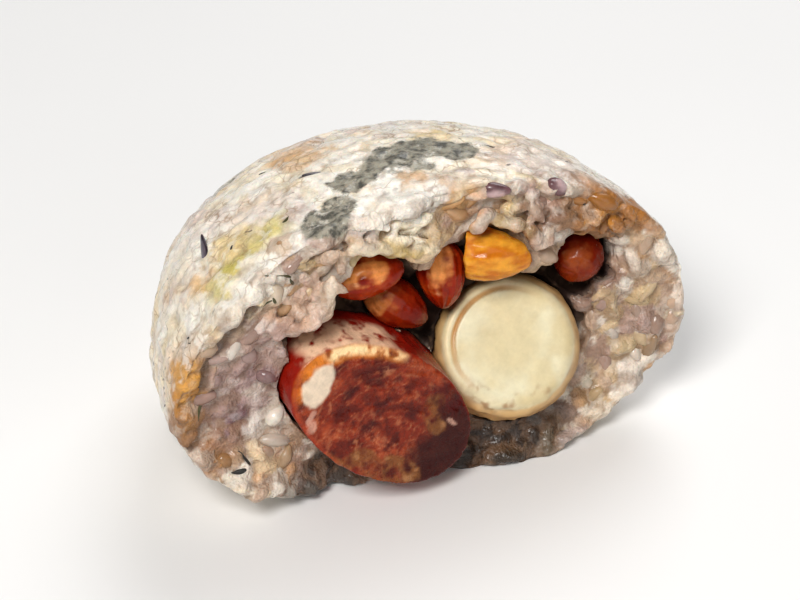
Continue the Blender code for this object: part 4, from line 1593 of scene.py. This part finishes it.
@dataclass
class Sausage:
    """Cured sausage: dark streaky meat at the cut, a fat lump, and a casing behind it with a painted
    wet highlight.

    Lumps in the cut are given by their place along its wide and its thick side and their half
    sizes, all as shares of the half sizes of the cut.
    """

    voxel: float = 0.30 * MM
    wide: float = 18.5 * MM
    thick: float = 11.3 * MM
    roll: float = math.radians(36.0)
    aside: float = 0.7 * MM
    lowered: float = 0.55 * MM
    lean: float = 0.23
    cut_depth: float = 3.2 * MM
    meat_tone: Triple = (0.95, 0.66, 0.45)
    fat: tuple[Lump, ...] = ((-0.78, -0.02, 0.125, 0.34),)
    tan: tuple[Lump, ...] = (
        (0.40, 0.36, 0.10, 0.22), (0.50, 0.18, 0.13, 0.12), (0.06, -0.76, 0.24, 0.14),
        (0.36, -0.58, 0.18, 0.14), (0.54, -0.66, 0.12, 0.16), (0.30, -0.88, 0.30, 0.10),
        (-0.24, -0.92, 0.16, 0.08),
    )
    pale: tuple[Lump, ...] = (
        (0.66, 0.33, 0.06, 0.035), (-0.68, -0.50, 0.035, 0.15), (-0.62, -0.64, 0.035, 0.12),
    )

    def section(self, points: Array) -> tuple[Array, Array]:
        """Find the places of points in the cut.

        Args:
            points: the points.

        Returns:
            Their places along its wide and along its thick side, as shares of its half sizes.
        """
        low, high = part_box("sausage")
        across = points[:, 0] - (low.x + high.x) / 2.0 - self.aside
        up = points[:, 2] - (low.z + high.z) / 2.0 + self.lowered
        wide = (across * math.cos(self.roll) - up * math.sin(self.roll)) / self.wide
        thick = (across * math.sin(self.roll) + up * math.cos(self.roll)) / self.thick
        return wide, thick

    def _meat(self, cut: SausageCut) -> Array:
        """Colour of the lean meat: dark, with paler fibres, and darker still at the right."""
        fibres, flecks, cloud = cut.fibres, cut.flecks, cut.cloud
        threads = ease(cut.threads * 1.8 - 1.0) * ease(0.4 + cloud)
        maroon = cut.arc(20.0, 120.0, 0.66, 0.97) * ease(0.5 - 1.5 * fibres)
        return self.meat_tone * blend(
            MeatTint.RED,
            (MeatTint.ROSY, ease(2.0 * fibres + cloud + 0.5 * flecks) * 0.75),
            (MeatTint.DEEP, ease(-0.20 - 2.6 * fibres) * 0.95),
            (MeatTint.STRAND, ease(cut.strands * 1.6 - 1.15 + flecks) * 0.50),
            (MeatTint.THREAD, threads * 0.40),
            (MeatTint.DARK, ease(0.2 - 2.2 * flecks - fibres) * 0.55),
            (MeatTint.SHADED, ease((cut.wide - 0.30 + 0.35 * cloud) / 0.35) * 0.95),
            (MeatTint.MAROON, maroon * 0.8))

    def _casing(self, cut: SausageCut, back: Array) -> Array:
        """Colour of the casing: red, with a pale painted wet highlight just behind the upper edge of
        the cut.
        """
        warm = ease(layered_noise(cut.points, 4.0 * MM, 83)) * 0.8
        # painted highlight: pale wet streaks on the casing's upper shoulder
        wet = cut.turn(96.0, 176.0) * (1.0 - cut.on_cut) * ease((4.8 * MM - back) / (2.4 * MM))
        wet *= ease(0.85 + 1.2 * cut.fibres + 1.8 * cut.flecks)
        return blend(MeatTint.CASING, (MeatTint.WARM_CASING, warm),
                     (MeatTint.WET_CASING, wet * 0.95))

    def _colours(self, cut: SausageCut, back: Array, fat: Array) -> Array:
        """Colour the sausage.

        Args:
            cut: where its vertices lie in the cut.
            back: how far behind the cut they lie, metres.
            fat: the share of fat there.

        Returns:
            A colour for each vertex, with the tan, fat and pale lumps and the orange edge.
        """
        on_cut, flecks = cut.on_cut, cut.flecks
        tan = cut.lumps(self.tan, 0.85)
        orange = cut.arc(92.0, 205.0, 0.76, 1.30) * on_cut
        yellow = cut.arc(92.0, 160.0, 0.80, 1.30) * on_cut * ease(0.80 + 1.8 * flecks)
        ring = cut.arc(165.0, 265.0, 0.90, 1.30) * on_cut * (1.0 - fat)
        return blend(
            self._casing(cut, back),
            (self._meat(cut), on_cut),
            (MeatTint.TAN, tan * ease(0.70 + 1.5 * flecks) * 0.80),
            (MeatTint.PALE_TAN, tan * ease(flecks * 3.0 - 0.6) * 0.60),
            (MeatTint.ORANGE, orange * ease(0.95 + 1.2 * flecks) * 0.9),
            (MeatTint.YELLOW, yellow * 0.97),
            (MeatTint.FAT, fat * ease(1.4 + flecks)),
            (MeatTint.PALE, cut.lumps(self.pale, 1.9) * 0.60),
            (MeatTint.RIM, ring * 0.85))

    def build(self, material: Material) -> Piece:
        """Model and paint the sausage."""
        piece = fine_copy("sausage", "sausage_meat", self.voxel, 6)
        mesh = piece.data
        points, normals, edges = read_surface(mesh)
        low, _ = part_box("sausage")
        back = points[:, 1] - (low.y + self.lean * (points[:, 2] - low.z) + self.cut_depth)
        on_cut = spread(ease((-normals[:, 1] - 0.5) / 0.25) * ease(-back / (0.8 * MM)), edges, 2)
        cut = SausageCut(points, *self.section(points), on_cut)
        fat = cut.lumps(self.fat, 0.60, 0.25)
        height = (0.24 * cut.fibres + 0.12 * cut.strands + 0.10 * cut.flecks) * MM
        height *= on_cut * (1.0 - 0.8 * fat)
        height += 0.35 * MM * spread(fat, edges, 4)
        wrinkles = 1.0 - np.abs(layered_noise(points * (1.0, 0.45, 1.0), 3.2 * MM, 91)) * 2.0
        height += 0.22 * MM * wrinkles * (1.0 - on_cut)
        write_points(mesh, points + normals * spread(height, edges, 1)[:, None])
        # painted shade in the creases
        crease = ease(hollowness(mesh, 0.14 * MM, 4)) * 0.55 * (1.0 - fat)
        return dress(piece, material, self._colours(cut, back, fat), crease,
                     raw=on_cut * (1.0 - fat))


@dataclass
class Chestnut:
    """Round pale nut with a flat cut, a thin golden line inside its rim, a tan flank, painted
    highlights.
    """

    voxel: float = 0.34 * MM
    line_from: float = 0.915
    line_to: float = 1.040

    def cut(self) -> tuple[Array, Array, float]:
        """Middle, normal and radius of the flat cut, read from the CAD solid."""
        guide = copy_of_node("chestnut", "guide")
        mesh = guide.data
        normals = np.array([face.normal for face in mesh.polygons])
        areas = np.array([face.area for face in mesh.polygons])
        alike = (normals @ normals.T) > math.cos(math.radians(2.0))
        best = int(np.argmax(alike @ areas))
        faces = np.nonzero(alike[best])[0]
        numbers = sorted({vert for face in faces for vert in mesh.polygons[face].vertices})
        points = read_points(mesh)[numbers]
        bpy.data.objects.remove(guide, do_unlink=True)
        middle = (points.max(axis=0) + points.min(axis=0)) / 2.0
        radius = np.linalg.norm(points - middle, axis=1).max()
        return middle, normals[best], radius

    def build(self, material: Material) -> Piece:
        """Model and paint the chestnut."""
        middle, facing, radius = self.cut()
        piece = fine_copy("chestnut", "chestnut_nut", self.voxel, 22)
        mesh = piece.data
        points, normals, edges = read_surface(mesh)
        apart = points - middle
        height = apart @ facing
        flat = apart - height[:, None] * facing
        out = np.linalg.norm(flat, axis=1)
        share = out / radius
        up, left = flat[:, 2] / (out + 1e-9), -flat[:, 0] / (out + 1e-9)
        on_cut = ease((spread(normals @ facing, edges, 3) - 0.45) / 0.20)
        cloud = layered_noise(points, 4.5 * MM, 101, 4)
        from_rim = share + 0.018 * lattice_noise(points, 3.5 * MM, 103)
        # the golden line and the pale lip outside it are clear at the upper left and fade from there
        strong = ease(0.10 + 0.85 * (0.75 * up + 0.65 * left))
        near = ease((height + 2.6 * MM) / (0.8 * MM))
        line = ease((from_rim - self.line_from) / 0.03) * ease((self.line_to - from_rim) / 0.045) * near
        # the pale lip is a painted highlight
        lit_lip = ease((from_rim - self.line_to) / 0.03) * ease((1.20 - from_rim) / 0.10) * near
        rim = ease((from_rim - self.line_from + 0.04) / 0.16) * (1.0 - strong)
        low = ease((-up - 0.35) / 0.4) * ease((share - 0.80) / 0.12)

        deep = ease(cloud * 1.8 + 0.15) * ease((0.85 - share) / 0.5)
        spots = ease(layered_noise(points, 1.8 * MM, 107) * 2.2 + 0.1)
        face = blend(
            NutTint.FACE,
            (NutTint.PALE_FACE, ease(0.55 + 1.4 * cloud) * ease((share - 0.25) / 0.5)),
            (NutTint.DEEP_FACE, deep * 0.6),
            (NutTint.RIM, rim * 0.30),
            (NutTint.BROWN_SPOT, low * spots * 0.85))
        brown = ease(layered_noise(points, 3.0 * MM, 109) * 1.8)
        colours = blend(
            NutTint.FLANK,
            # painted highlight: the flank paler near the cut, and the pale lip
            (NutTint.PALE_FLANK, ease((height + 4.0 * MM) / (3.0 * MM))),
            (NutTint.BROWN_FLANK, brown * 0.6),
            (face, on_cut),
            (NutTint.LIP, lit_lip * strong * ease(0.8 + 1.5 * cloud) * 0.7),
            (NutTint.LINE, np.clip(line * strong * (1.1 + 0.4 * cloud), 0.0, 1.0)))

        ripples = lattice_noise(points, 1.6 * MM, 111) * (0.05 + 0.22 * low + 0.10 * (1.0 - on_cut))
        groove = (0.34 * lit_lip - 0.36 * line) * strong
        write_points(mesh, points + normals * ((ripples + groove) * MM)[:, None])
        # painted shade in the creases
        crease = ease(hollowness(mesh, 0.14 * MM, 4) - 0.15) * 0.4
        return dress(piece, material, colours, spread(crease, edges, 1))


@dataclass
class Peanut:
    """Boiled peanut in its dark skin, with painted light on its lit side and shade as painted shade."""

    node: str
    seed: int = 1
    worn: float = 0.5
    worn_towards: Triple = (-0.35, -0.65, 0.65)
    wrinkle: float = 0.14 * MM
    fold_turns: float = 2.4
    shade: float = 1.0
    voxel: float = 0.20 * MM

    def build(self, material: Material) -> Piece:
        """Model and paint the nut."""
        piece = fine_copy(self.node, self.node + "_nut", self.voxel, 7)
        mesh = piece.data
        points, normals, edges = read_surface(mesh)
        middle, axes = long_axes(points)
        local = (points - middle) @ axes.T
        along = local[:, 0]
        half = np.abs(along).max()
        turn = np.arctan2(local[:, 2], local[:, 1])
        ring = np.stack([np.cos(turn) * 2.2, np.sin(turn) * 2.2, along / half * self.fold_turns],
                        axis=1)
        folds = 1.0 - 2.2 * np.abs(lattice_noise(ring, 1.1, 201 + self.seed))
        small = 1.0 - 2.0 * np.abs(lattice_noise(ring, 0.5, 231 + self.seed))
        lumps = lattice_noise(points, 3.4 * MM, 251 + self.seed)
        height = self.wrinkle * (0.9 * folds + 0.4 * small) + 0.25 * MM * lumps
        write_points(mesh, points + normals * spread(height, edges, 1)[:, None])
        cloud = layered_noise(points, 3.2 * MM, 271 + self.seed, 4)
        # painted light: the skin is paler on the side turned towards the light, with pale highlight
        # spots there
        facing = normals @ (np.array(self.worn_towards) / np.linalg.norm(self.worn_towards))
        bare = ease((facing - 0.70 + 0.35 * cloud) / 0.28) * self.worn
        spots = ease(layered_noise(points, 1.2 * MM, 291 + self.seed, 3) * 2.4 - 0.5)
        ends = ease((np.abs(along) / half - 0.74) / 0.25)
        colours = self.shade * blend(
            NutTint.SKIN,
            (NutTint.BRIGHT_SKIN, ease(0.25 + 1.3 * cloud)),
            (NutTint.DARK_SKIN, ease(-0.15 - 1.9 * cloud) * 0.8),
            (NutTint.WORN_SKIN, bare),
            (NutTint.BARE, bare * spots * 0.8),
            (NutTint.SKIN_END, ends * 0.55))
        # painted shade in the creases, through the crease
        return dress(piece, material, colours, ease(hollowness(mesh, 0.10 * MM, 5)) * 0.65)


@dataclass
class Kernel:
    """Cut peanut kernel: streaked amber flesh with a thin line of dark skin along top and tip."""

    voxel: float = 0.20 * MM

    def build(self, material: Material) -> Piece:
        """Model and paint the kernel."""
        piece = fine_copy("peanut_kernel", "kernel_half", self.voxel, 5)
        mesh = piece.data
        points, normals, edges = read_surface(mesh)
        low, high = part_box("peanut_kernel")
        across = (points[:, 0] - low.x) / (high.x - low.x)
        up = (points[:, 2] - low.z) / (high.z - low.z)
        streaks = layered_noise(points * (0.35, 1.0, 1.3), 1.7 * MM, 301, 4)
        ridge = np.exp(-((up - 0.60 - 0.10 * across) / 0.09) ** 2)
        height = (0.18 * streaks + 0.25 * ridge) * MM
        write_points(mesh, points + normals * spread(height, edges, 2)[:, None])
        brown = ease(0.45 - up * 1.4 - 0.6 * streaks)
        skin = ease((up - 0.965 + 0.05 * across + 0.03 * streaks) / 0.03)
        skin *= ease((across - 0.05) / 0.1)
        tip = ease((across - 0.94 + 0.05 * streaks) / 0.04)
        edge = ease((0.03 - across) / 0.02) * 0.8
        colours = blend(
            NutTint.KERNEL,
            (NutTint.KERNEL_GOLD, ease(0.45 + 1.6 * streaks) * 0.9),
            (NutTint.KERNEL_BROWN, brown * 0.8),
            (NutTint.KERNEL_SKIN, np.max([skin, tip, edge], axis=0) * 0.9))
        # painted shade in the creases, through the crease
        return dress(piece, material, colours, ease(hollowness(mesh, 0.12 * MM, 4)) * 0.45)


# ---- beans, black grains, flakes, shreds
@dataclass(frozen=True)
class Morsel:
    """A small thing pressed into the rice.

    The place is millimetres from the rice's datum, turn is its angle on the surface in degrees, and
    sizes are its length, width and thickness in millimetres.
    """

    place: Triple
    turn: float
    sizes: Triple
    proud: float = 0.35


BLACK_GRAINS: tuple[Morsel, ...] = tuple(Morsel(*row) for row in (
    ((-35.8, 23.2, 44.3), 62.0, (7.2, 2.5, 1.5), 0.30),
    ((-13.6, 25.8, 53.8), 10.0, (6.0, 1.8, 1.1), 0.05),
    ((44.0, 22.0, 36.0), 40.0, (6.4, 2.3, 1.5), 0.25),
    ((20.0, 52.0, 40.0), -30.0, (6.2, 2.2, 1.5), 0.25),
    ((-28.0, 50.0, 28.0), 75.0, (6.6, 2.3, 1.5), 0.25),
    ((-6.0, 60.0, 34.0), 15.0, (6.0, 2.2, 1.4), 0.20),
))
BEANS: tuple[Morsel, ...] = tuple(Morsel(*row) for row in (
    ((10.2, 5.2, 53.8), 20.0, (6.0, 4.0, 3.2), -0.10),
    ((23.2, 5.6, 52.6), -10.0, (5.4, 3.8, 3.2), 0.00),
    ((38.0, 38.0, 30.0), 30.0, (5.6, 4.4, 3.6), 0.20),
    ((-18.0, 58.0, 20.0), -30.0, (5.8, 4.4, 3.6), 0.20),
))
DARK_SHREDS: tuple[Morsel, ...] = tuple(Morsel(*row) for row in (
    ((-35.6, 5.0, 13.8), -55.0, (4.6, 1.3, 0.6), 0.30),
    ((-37.6, 4.6, 11.4), -5.0, (3.0, 1.2, 0.6), 0.30),
    ((16.5, 20.5, 55.0), 10.0, (4.6, 0.6, 0.4), 0.15),
    ((-26.5, 6.6, 36.5), 20.0, (3.6, 0.6, 0.4), 0.25),
    ((27.0, 6.0, 47.8), -20.0, (3.0, 1.0, 0.5), 0.20),
    ((-47.3, 12.0, 40.0), 70.0, (1.6, 0.7, 0.4), 0.15),
    ((-33.0, 18.0, 48.0), 30.0, (1.4, 0.8, 0.4), 0.15),
    ((-44.5, 8.0, 38.0), -60.0, (1.8, 0.5, 0.3), 0.15),
    ((-42.0, 30.0, 38.0), 40.0, (2.2, 0.6, 0.3), 0.15),
    ((-20.0, 36.0, 50.0), -20.0, (2.4, 0.6, 0.3), 0.15),
    ((30.0, 16.0, 50.5), 35.0, (2.0, 0.6, 0.3), 0.15),
    ((-48.2, 14.0, 22.0), 80.0, (2.4, 0.5, 0.3), 0.15),
    ((44.0, 32.0, 28.0), 50.0, (3.4, 0.6, 0.3), 0.15),
    ((4.0, 58.0, 30.0), 10.0, (3.0, 0.6, 0.3), 0.15),
    ((-34.0, 48.0, 26.0), -40.0, (3.0, 0.6, 0.3), 0.15),
))
GREEN_SHREDS: tuple[Morsel, ...] = tuple(Morsel(*row) for row in (
    ((-28.6, 5.4, 48.3), -14.0, (5.6, 0.9, 0.5), 0.30),
    ((-26.4, 5.6, 46.4), -62.0, (3.2, 0.8, 0.5), 0.30),
    ((-29.8, 5.6, 44.6), 75.0, (3.4, 1.5, 0.6), 0.20),
    ((-31.2, 5.6, 43.4), 10.0, (2.2, 1.0, 0.5), 0.20),
    ((-42.8, 6.0, 24.5), 65.0, (4.4, 0.7, 0.4), 0.25),
    ((-23.6, 15.0, 52.6), 15.0, (2.2, 1.0, 0.5), 0.10),
    ((34.0, 28.0, 39.5), 25.0, (6.0, 1.0, 0.5), 0.20),
    ((12.0, 58.0, 26.0), 70.0, (5.0, 0.9, 0.5), 0.20),
    ((-10.0, 56.0, 34.0), -35.0, (4.6, 1.0, 0.5), 0.20),
))


@dataclass
class Morsels:
    """Small things pressed into the rice, one piece for each kind, each shaped from a grain."""

    rice: Rice
    seed: int = 77
    ragged: float = 0.6
    blunt: float = 0.75

    def _seat(self, morsel: Morsel) -> tuple[Array, Array, Array]:
        """Surface point, outward direction and long direction of a morsel."""
        spot, normal, _, _ = self.rice.core_tree.find_nearest(self.rice.place(*morsel.place))
        level = Vector((1.0, 0.0, 0.0)) - normal * normal.x
        level.normalize()
        side = normal.cross(level)
        angle = math.radians(morsel.turn)
        along = level * math.cos(angle) + side * math.sin(angle)
        return np.array(spot), np.array(normal), np.array(along)

    def _shape(self, number: int, morsel: Morsel, curl: float) -> Array:
        """Vertex places of one morsel.

        Args:
            number: its number among its kind, which varies its outline.
            morsel: its place and sizes.
            curl: how much it bends for each metre of length; 0 makes a firm grain, anything else
                a strip that follows the rice.

        Returns:
            One place for each vertex of the modelled grain.
        """
        spot, normal, along = self._seat(morsel)
        side = np.cross(normal, along)
        size = np.array(morsel.sizes) * MM / 2.0
        local = self.rice.grain.points / np.abs(self.rice.grain.points).max(axis=0)
        middle = spot + normal * (morsel.proud * MM - size[2] * 0.6)
        if not curl:
            local *= size
            shape = middle + local[:, :1] * along + local[:, 1:2] * side + local[:, 2:] * normal
            wobble = layered_noise(shape, 2.4 * MM, self.seed + number, 2) * size[1]
            return shape + (normal * 0.4 + side) * (0.35 * self.ragged * wobble)[:, None]
        local = np.sign(local) * np.abs(local) ** self.blunt * size
        lengthwise = local * (1.0, 0.0, 0.0)
        local[:, 1] *= 0.80 + 0.8 * lattice_noise(lengthwise + number * MM, 1.3 * MM, self.seed)
        swing = lattice_noise(lengthwise - number * MM, 2.2 * MM, 5) * 0.5 * MM
        sway = local[:, 0] ** 2 * (curl if number % 2 else -curl) + swing
        spine = middle + local[:, :1] * along + sway[:, None] * side
        laid = np.array([self.rice.core_tree.find_nearest(Vector(point))[0] for point in spine])
        return laid + local[:, 1:2] * side + (local[:, 2:] + (morsel.proud - 0.25) * MM) * normal

    def _middles(self, morsels: tuple[Morsel, ...], places: Array) -> Array:
        """1 in the middle of each morsel, 0 at its edge, for each place."""
        share = np.zeros(len(places))
        for morsel in morsels:
            spot, normal, along = self._seat(morsel)
            apart = places - spot
            away = np.hypot(apart @ along / (morsel.sizes[0] * MM * 0.38),
                            apart @ np.cross(normal, along) / (morsel.sizes[1] * MM * 0.36))
            share = np.maximum(share, ease((1.0 - away) / 0.3))
        return share

    def build(self, name: str, morsels: tuple[Morsel, ...], tint: Tint, eye: Tint | None,
              material: Material, curl: float = 0.0) -> Piece:
        """Make one piece from morsels of one kind.

        Args:
            name: name of the piece.
            morsels: the places and sizes.
            tint: main colour.
            eye: colour of a paler middle, or None; on the black grains it is a painted sheen.
            material: the finish.
            curl: how much the morsels bend, for each metre of length.

        Returns:
            The new piece.
        """
        shapes = [self._shape(number, morsel, curl) for number, morsel in enumerate(morsels)]
        piece = joined_mesh(name, np.array(shapes), self.rice.grain.faces)
        apply_modifier(piece, "SUBSURF", levels=1, render_levels=1)
        places = read_points(piece.data)
        cloud = layered_noise(places, 1.4 * MM, self.seed)
        colours = rgb(tint) * (1.0 + 0.5 * cloud)[:, None]
        if eye is not None:
            colours = blend(colours, (eye, self._middles(morsels, places)))
        # painted shade in the creases
        crease = ease(hollowness(piece.data, 0.12 * MM, 3)) * 0.5
        return dress(piece, material, colours, crease)


# ---- studio
@dataclass
class Studio:
    """Plain pale floor, soft lights and the camera."""

    floor_size: float = 6.0
    floor_tint: Triple = (0.87, 0.86, 0.85)
    floor_fade: float = 0.97
    eye: Triple = (-0.1819, -0.4128, 0.3210)
    lens: float = 136.0
    aim_up: float = 0.46
    aim_forward: float = 10.0 * MM
    lit_point: Triple = (0.0, 0.0, 0.02)

    def floor(self) -> None:
        """Add the floor with its own finish."""
        bpy.ops.object.select_all(action="DESELECT")
        bpy.ops.mesh.primitive_plane_add(size=self.floor_size, location=(0.0, 0.0, 0.0))
        floor = bpy.context.active_object
        floor.name = "studio_floor"
        made = bpy.data.materials.new("pale_floor")
        made.use_nodes = True
        tree = made.node_tree
        cloud = noise_node(tree, add_node(tree, "TexCoord", {}).outputs["Object"], 9.0)
        faded = (self.floor_fade * share for share in self.floor_tint)
        tint = mix_node(tree, cloud, (*self.floor_tint, 1.0), (*faded, 1.0))
        feed(tree, tree.nodes["Principled BSDF"], {"Base Color": tint, "Roughness": 0.6})
        floor.data.materials.append(made)

    def light(self, name: str, place: Triple, size: float, power: float,
              colour: Triple = (1.0, 1.0, 1.0)) -> None:
        """Add a square area light that looks at the roll."""
        lamp = bpy.data.lights.new(name, "AREA")
        lamp.size = size
        lamp.energy = power
        lamp.color = colour
        made = bpy.data.objects.new(name, lamp)
        made.location = place
        aim = Vector(self.lit_point) - Vector(place)
        made.rotation_euler = aim.to_track_quat("-Z", "Y").to_euler()
        link(made)

    def lights(self) -> None:
        """Add the soft lights and the pale surroundings."""
        self.light("key_light", (-0.42, -0.45, 0.70), 0.32, 7.4, (1.0, 0.985, 0.96))
        self.light("back_light", (0.42, 0.40, 0.72), 0.55, 4.4, (0.98, 0.99, 1.0))
        self.light("fill_light", (0.10, -0.85, 0.35), 0.60, 1.5)
        world = bpy.data.worlds.new("pale_room")
        world.use_nodes = True
        feed(world.node_tree, world.node_tree.nodes["Background"],
             {"Color": (0.95, 0.97, 1.0, 1.0), "Strength": 0.11})
        bpy.context.scene.world = world

    def camera(self) -> None:
        """Add the camera and aim it at the middle of the roll."""
        low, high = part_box("rice")
        middle = Vector(((low.x + high.x) / 2.0, (low.y + high.y) / 2.0 - self.aim_forward,
                         low.z + self.aim_up * (high.z - low.z)))
        data = bpy.data.cameras.new("camera")
        data.lens = self.lens
        data.sensor_width = 36.0
        data.clip_start = 0.01
        made = bpy.data.objects.new("camera", data)
        made.location = self.eye
        made.rotation_euler = (middle - Vector(self.eye)).to_track_quat("-Z", "Y").to_euler()
        link(made)
        bpy.context.scene.camera = made

    def build(self) -> None:
        """Set up the whole studio."""
        self.camera()
        self.floor()
        self.lights()
        bpy.context.scene.view_settings.view_transform = "Standard"
        bpy.context.scene.view_settings.look = "None"


def attach(piece: Piece, slot: str, *nodes: str) -> None:
    """Ride a piece on the roll, hide the CAD nodes it stands for, and log its triangles."""
    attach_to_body(piece, "root")
    if nodes:
        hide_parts(*nodes)
    mesh = piece.data
    triangles = sum(len(face.vertices) - 2 for face in mesh.polygons)
    log.info("%s: %d triangles", piece.name, triangles)


def main() -> None:
    """Build the roll's looks in order."""
    logging.basicConfig(level=logging.INFO, format="%(message)s")
    Studio().build()
    groups = Groups()
    rice = Rice(Grain())
    bed = rice.lay_grains()
    log.info("grains: %d", len(bed.places))
    pressed = RICE_FINISH.build(groups)
    attach(rice.build_core(bed, pressed, HOLLOW_SHADE_FINISH.build(groups)), "cooked_rice", "rice")
    attach(rice.build_edge(pressed), "cooked_rice")
    for piece in rice.build_loose(rice.loose_bed(bed), GRAIN_FINISH.build(groups)):
        attach(piece, "cooked_rice")

    attach(Sausage().build(SAUSAGE_FINISH.build(groups)), "sausage_meat", "sausage")
    attach(Chestnut().build(CHESTNUT_FINISH.build(groups)), "chestnut_flesh", "chestnut")
    skin = PEANUT_FINISH.build(groups)
    # painted light on each nut's lit side, and painted shade on the lower and right nuts
    nuts = (Peanut("peanut_left", 1, worn=0.85, worn_towards=(-0.55, -0.60, 0.55)),
            Peanut("peanut_lower", 2, worn=0.60, worn_towards=(-0.85, -0.35, 0.40), shade=0.75),
            Peanut("peanut_middle", 3, worn=0.90, wrinkle=0.26 * MM, fold_turns=1.2),
            Peanut("peanut_right", 4, worn=0.15, shade=0.60))
    for nut in nuts:
        attach(nut.build(skin), "peanut_skin", nut.node)
    attach(Kernel().build(KERNEL_FINISH.build(groups)), "peanut_flesh", "peanut_kernel")

    morsels = Morsels(rice)
    bean_skin, leaf = BEAN_FINISH.build(groups), LEAF_FINISH.build(groups)
    kinds = (
        # the black grains' paler middle is a painted sheen
        ("black_grains", BLACK_GRAINS, Tint.BLACK_GRAIN, Tint.WORN_GRAIN, bean_skin),
        ("small_beans", BEANS, Tint.BEAN, Tint.BEAN_EYE, bean_skin),
        ("dark_shreds", DARK_SHREDS, Tint.DARK_SHRED, None, leaf, 60.0),
        ("green_shreds", GREEN_SHREDS, Tint.GREEN_SHRED, None, leaf, 90.0),
    )
    for kind in kinds:
        attach(morsels.build(*kind), "cooked_rice")

    bpy.data.objects.remove(rice.solid, do_unlink=True)


if __name__ == "__main__":
    main()
